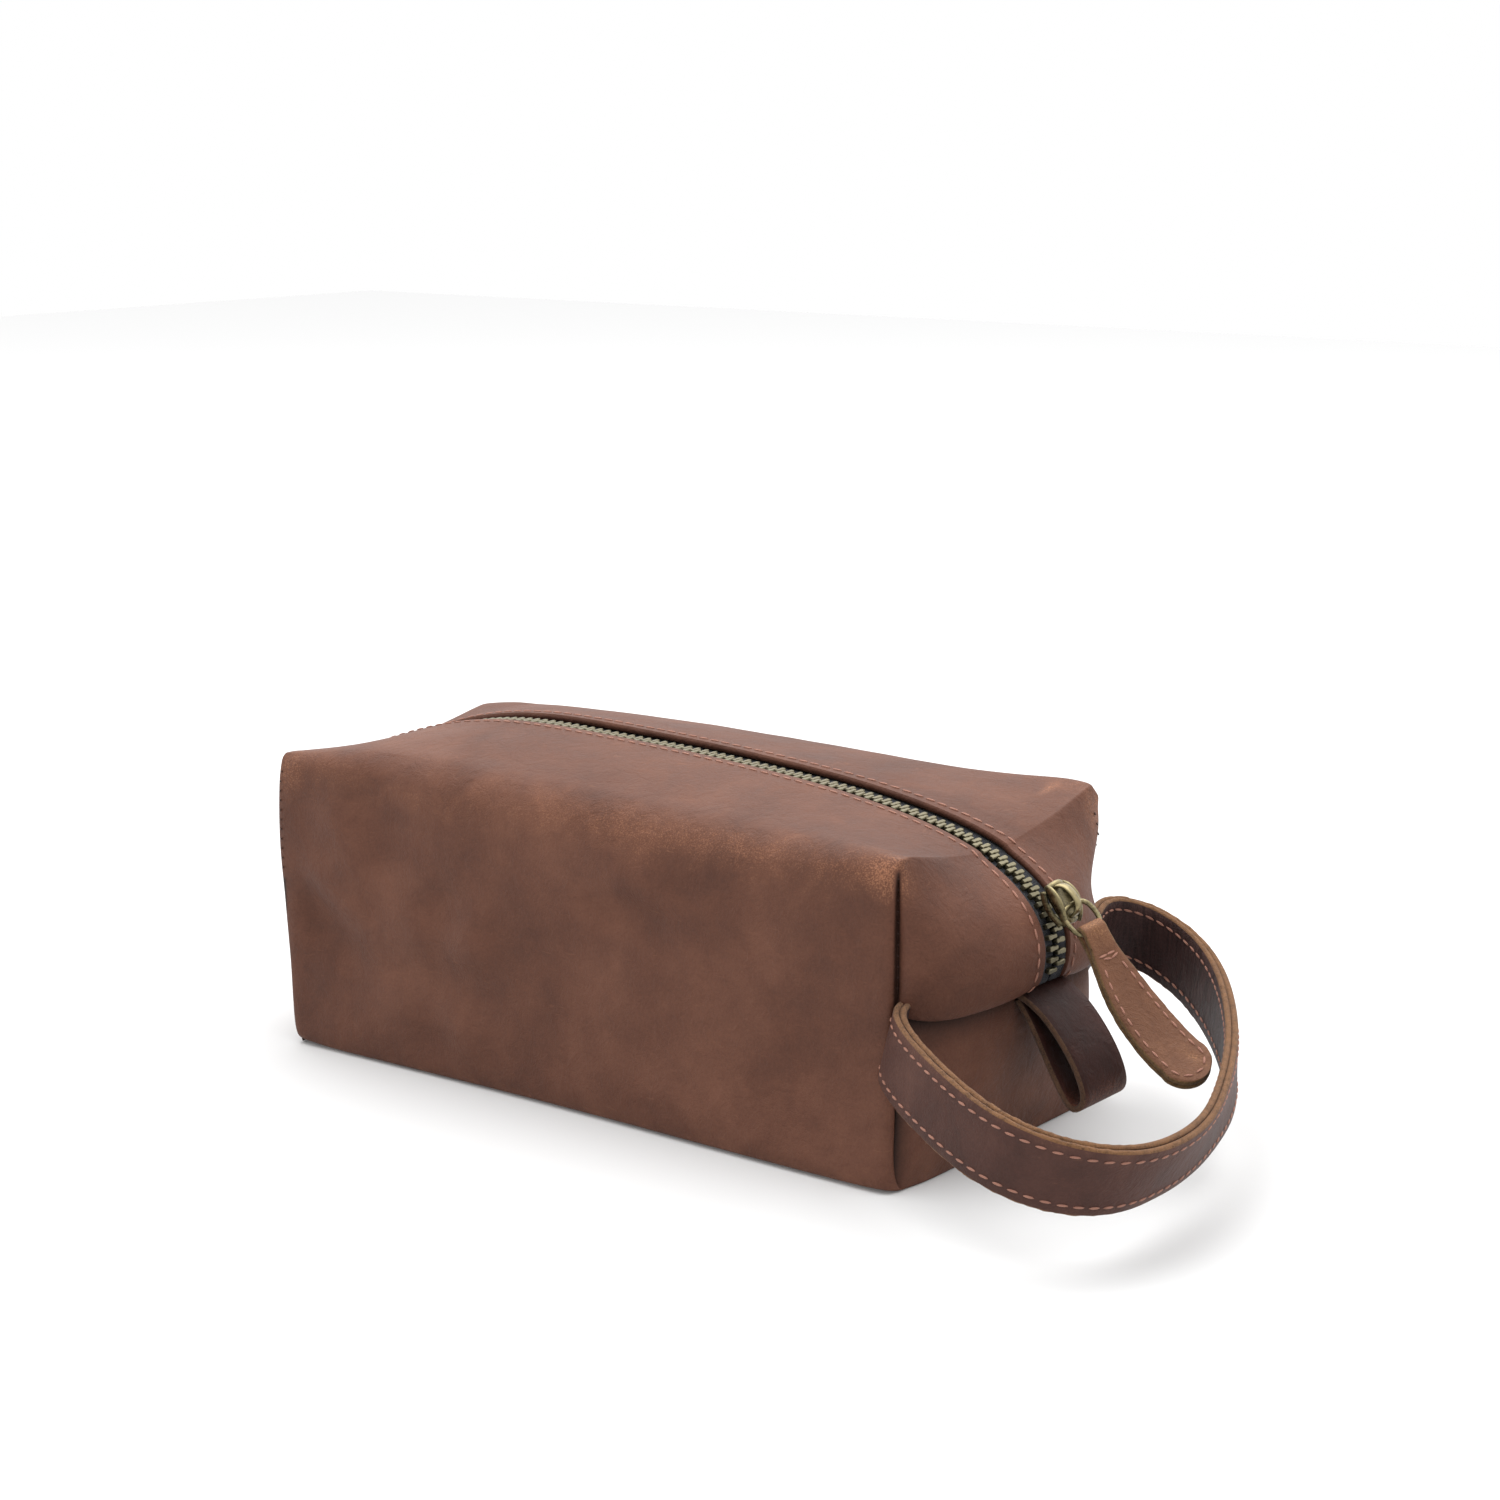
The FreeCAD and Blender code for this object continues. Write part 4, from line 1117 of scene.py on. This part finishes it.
def pull_width(s):
    body = float(np.interp(s, [0, 5, 10, 17, 27, 37, 60], [8.2, 8.6, 10.2, 12.9, 15.3, 16.2, 16.4]))
    cap = PULL_WIDE / 2
    into = s - (pull_total - cap)
    return body if into <= 0 else 2 * math.sqrt(max(0.0, cap ** 2 - into ** 2)) + 0.4


def pull_gap(s):
    """Half the space that the ring leaves between the pull's two layers."""
    return 0.85 * hill(s, 0, 5.2)


FOLD_WIDE = 8.2
path, wides, across = [], [], []
lower = np.concatenate([pull_total - np.linspace(0, 1, 16) ** 2 * 7.0, np.linspace(pull_total - 8, 3.5, 34)])


def add_layer(distances, facing):
    for s in distances:
        middle, _, face, wide = pull_frame(s)
        path.append(middle + face * facing * (PULL_LAYER / 2 + 0.04 + pull_gap(s)))
        wides.append(pull_width(s))
        across.append(wide)


add_layer(lower, -1)
m, d, face, wide = pull_frame(0)
fold = WIRE / 2 + PULL_LAYER / 2 + 0.1
for degrees in range(-20, 201, 20):
    a = math.radians(degrees)
    path.append(m - (face * math.cos(a) + d * math.sin(a)) * fold)
    wides.append(FOLD_WIDE)
    across.append(wide)
add_layer(lower[::-1], 1)
pull = strip("leather_pull", np.array(path), np.array(across), 1, PULL_LAYER, (PULL, PULL_EDGE), widths=wides,
             bevel=0.4, fuzz=0.14)
p = points_of(pull)
near_fold = hill(np.linalg.norm(p - pull_seat, axis=1), 0, 6.0)
scratch = hill(np.linalg.norm((p - pull_seat - (33.5, 1.5, -33.5)) / (6.0, 1.2, 5.0), axis=1), 0, 1)
keep_rest(pull, np.clip(0.7 * near_fold + 0.5 * scratch, 0, 1))
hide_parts("zip_pull")
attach(pull, "pull")

# two rows of stitches that meet round the tip, and four short stitches below the fold; each spot is a
# distance from the ring, a distance across, and a direction in the same two measures
INSET, PULL_STITCH_PITCH = 2.3, 3.9
edge_line = []
for s in np.linspace(11.5, pull_total - INSET, 120):
    into = s - (pull_total - PULL_WIDE / 2)
    half = pull_width(s) / 2 - INSET if into <= 0 else \
        math.sqrt(max(0.0, (PULL_WIDE / 2 - INSET) ** 2 - into ** 2))
    edge_line.append((s, half))
edge_line = np.array(edge_line + [(s, -half) for s, half in edge_line[::-1]])
edge_line = resample(edge_line, 400)
run = run_of(edge_line)
count = int(run[-1] / PULL_STITCH_PITCH)
spots = []
for at in (np.arange(count) + 0.5) * run[-1] / count:
    here, ahead = at_run(at, run, edge_line), at_run(at + 0.5, run, edge_line)
    spots.append((*here, *(ahead - here)))
spots += [(8.3, -1.7, 0, 1), (8.3, 1.1, 0, 1), (9.5, -0.7, 0.3, 1), (9.5, 1.9, -0.3, 1)]
places, axes = [], []
for s, half, ds, dh in spots:
    m, d, face, wide = pull_frame(s)
    line = unit(d * ds + wide * dh)
    places.append(m + face * (PULL_LAYER + 0.1 + pull_gap(s)) + wide * half)
    axes.append((line, np.cross(face, line), face))
stitches, _ = scatter("pull_stitches", bead(2.7, 0.75, 0.6), places, axes, THREAD)
keep_rest(stitches)
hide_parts("pull_stitching")
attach(stitches, "pull")


# ---- camera, light and floor ---------------------------------------------------------------------

camera = bpy.data.objects.new("camera", bpy.data.cameras.new("camera"))
bpy.context.scene.collection.objects.link(camera)
AZIMUTH, ELEVATION, DISTANCE = math.radians(36.8), math.radians(11.9), 0.986
TARGET = Vector((0.0297, 0.0, 0.1111))
SENSOR, LENS_PER_SENSOR = 36.0, 2.068
back = Vector((math.sin(AZIMUTH) * math.cos(ELEVATION), -math.cos(AZIMUTH) * math.cos(ELEVATION),
               math.sin(ELEVATION)))
camera.location = TARGET + back * DISTANCE
camera.rotation_euler = (-back).to_track_quat("-Z", "Y").to_euler()
camera.data.sensor_width, camera.data.lens = SENSOR, LENS_PER_SENSOR * SENSOR
camera.data.clip_start, camera.data.clip_end = 0.02, 60.0
bpy.context.scene.camera = camera

FLOOR_GREY, FLOOR_GLOW = 0.60, 0.07
FLOOR_CORNERS = [(-3, -3, 0), (3, -3, 0), (3, 3, 0), (-3, 3, 0)]
floor = bpy.data.objects.new("floor", bpy.data.meshes.new("floor"))
floor.data.from_pydata(FLOOR_CORNERS, [], [(0, 1, 2, 3)])
bpy.context.scene.collection.objects.link(floor)
paper = new_shader("pale_floor")
surface = paper.tree.nodes["Principled BSDF"]
paper.give(surface.inputs["Emission Color"], (1, 1, 1, 1))
paper.give(surface.inputs["Emission Strength"], FLOOR_GLOW)
floor.data.materials.append(paper.finish(colour=(FLOOR_GREY,) * 3 + (1,), roughness=0.95, specular=0.0))

# a studio that is bright overhead and behind, and dimmer in front; seen directly it is plain white
SKY_TO, SKY_LOW, SKY_HIGH = (-0.14, 0.34, 0.93), 0.17, 1.66
studio = Shader(bpy.data.worlds.new("studio"))
bpy.context.scene.world = studio.block
toward = studio.node("ShaderNodeTexCoord").outputs["Generated"]
lean = studio.node("ShaderNodeVectorMath", {1: SKY_TO, 0: toward}, operation="DOT_PRODUCT").outputs["Value"]
climb = {"Value": lean, "From Min": -0.75, "From Max": 0.95, "To Min": SKY_LOW, "To Max": SKY_HIGH}
level = studio.node("ShaderNodeMapRange", climb, interpolation_type="SMOOTHSTEP").outputs["Result"]
seen = studio.node("ShaderNodeLightPath").outputs["Is Camera Ray"]
strength = studio.node("ShaderNodeMix", {"Factor": seen, "A": level, "B": 1.0}).outputs["Result"]
sky = studio.tree.nodes["Background"]
studio.give(sky.inputs["Strength"], strength)
studio.give(sky.inputs["Color"], (1, 1, 1, 1))

LAMP_PLACE, LAMP_AIM, LAMP_SIZE, LAMP_WATTS = Vector((-0.25, 0.35, 1.8)), Vector((0, 0, 0.05)), 2.4, 40
lamp = bpy.data.lights.new("top_light", "AREA")
lamp.shape = "RECTANGLE"
lamp.size = lamp.size_y = LAMP_SIZE
lamp.energy = LAMP_WATTS
top_light = bpy.data.objects.new("top_light", lamp)
top_light.location = LAMP_PLACE
top_light.rotation_euler = (LAMP_AIM - LAMP_PLACE).to_track_quat("-Z", "Y").to_euler()
bpy.context.scene.collection.objects.link(top_light)
bpy.context.scene.view_settings.view_transform = "Standard"

bpy.context.view_layer.update()
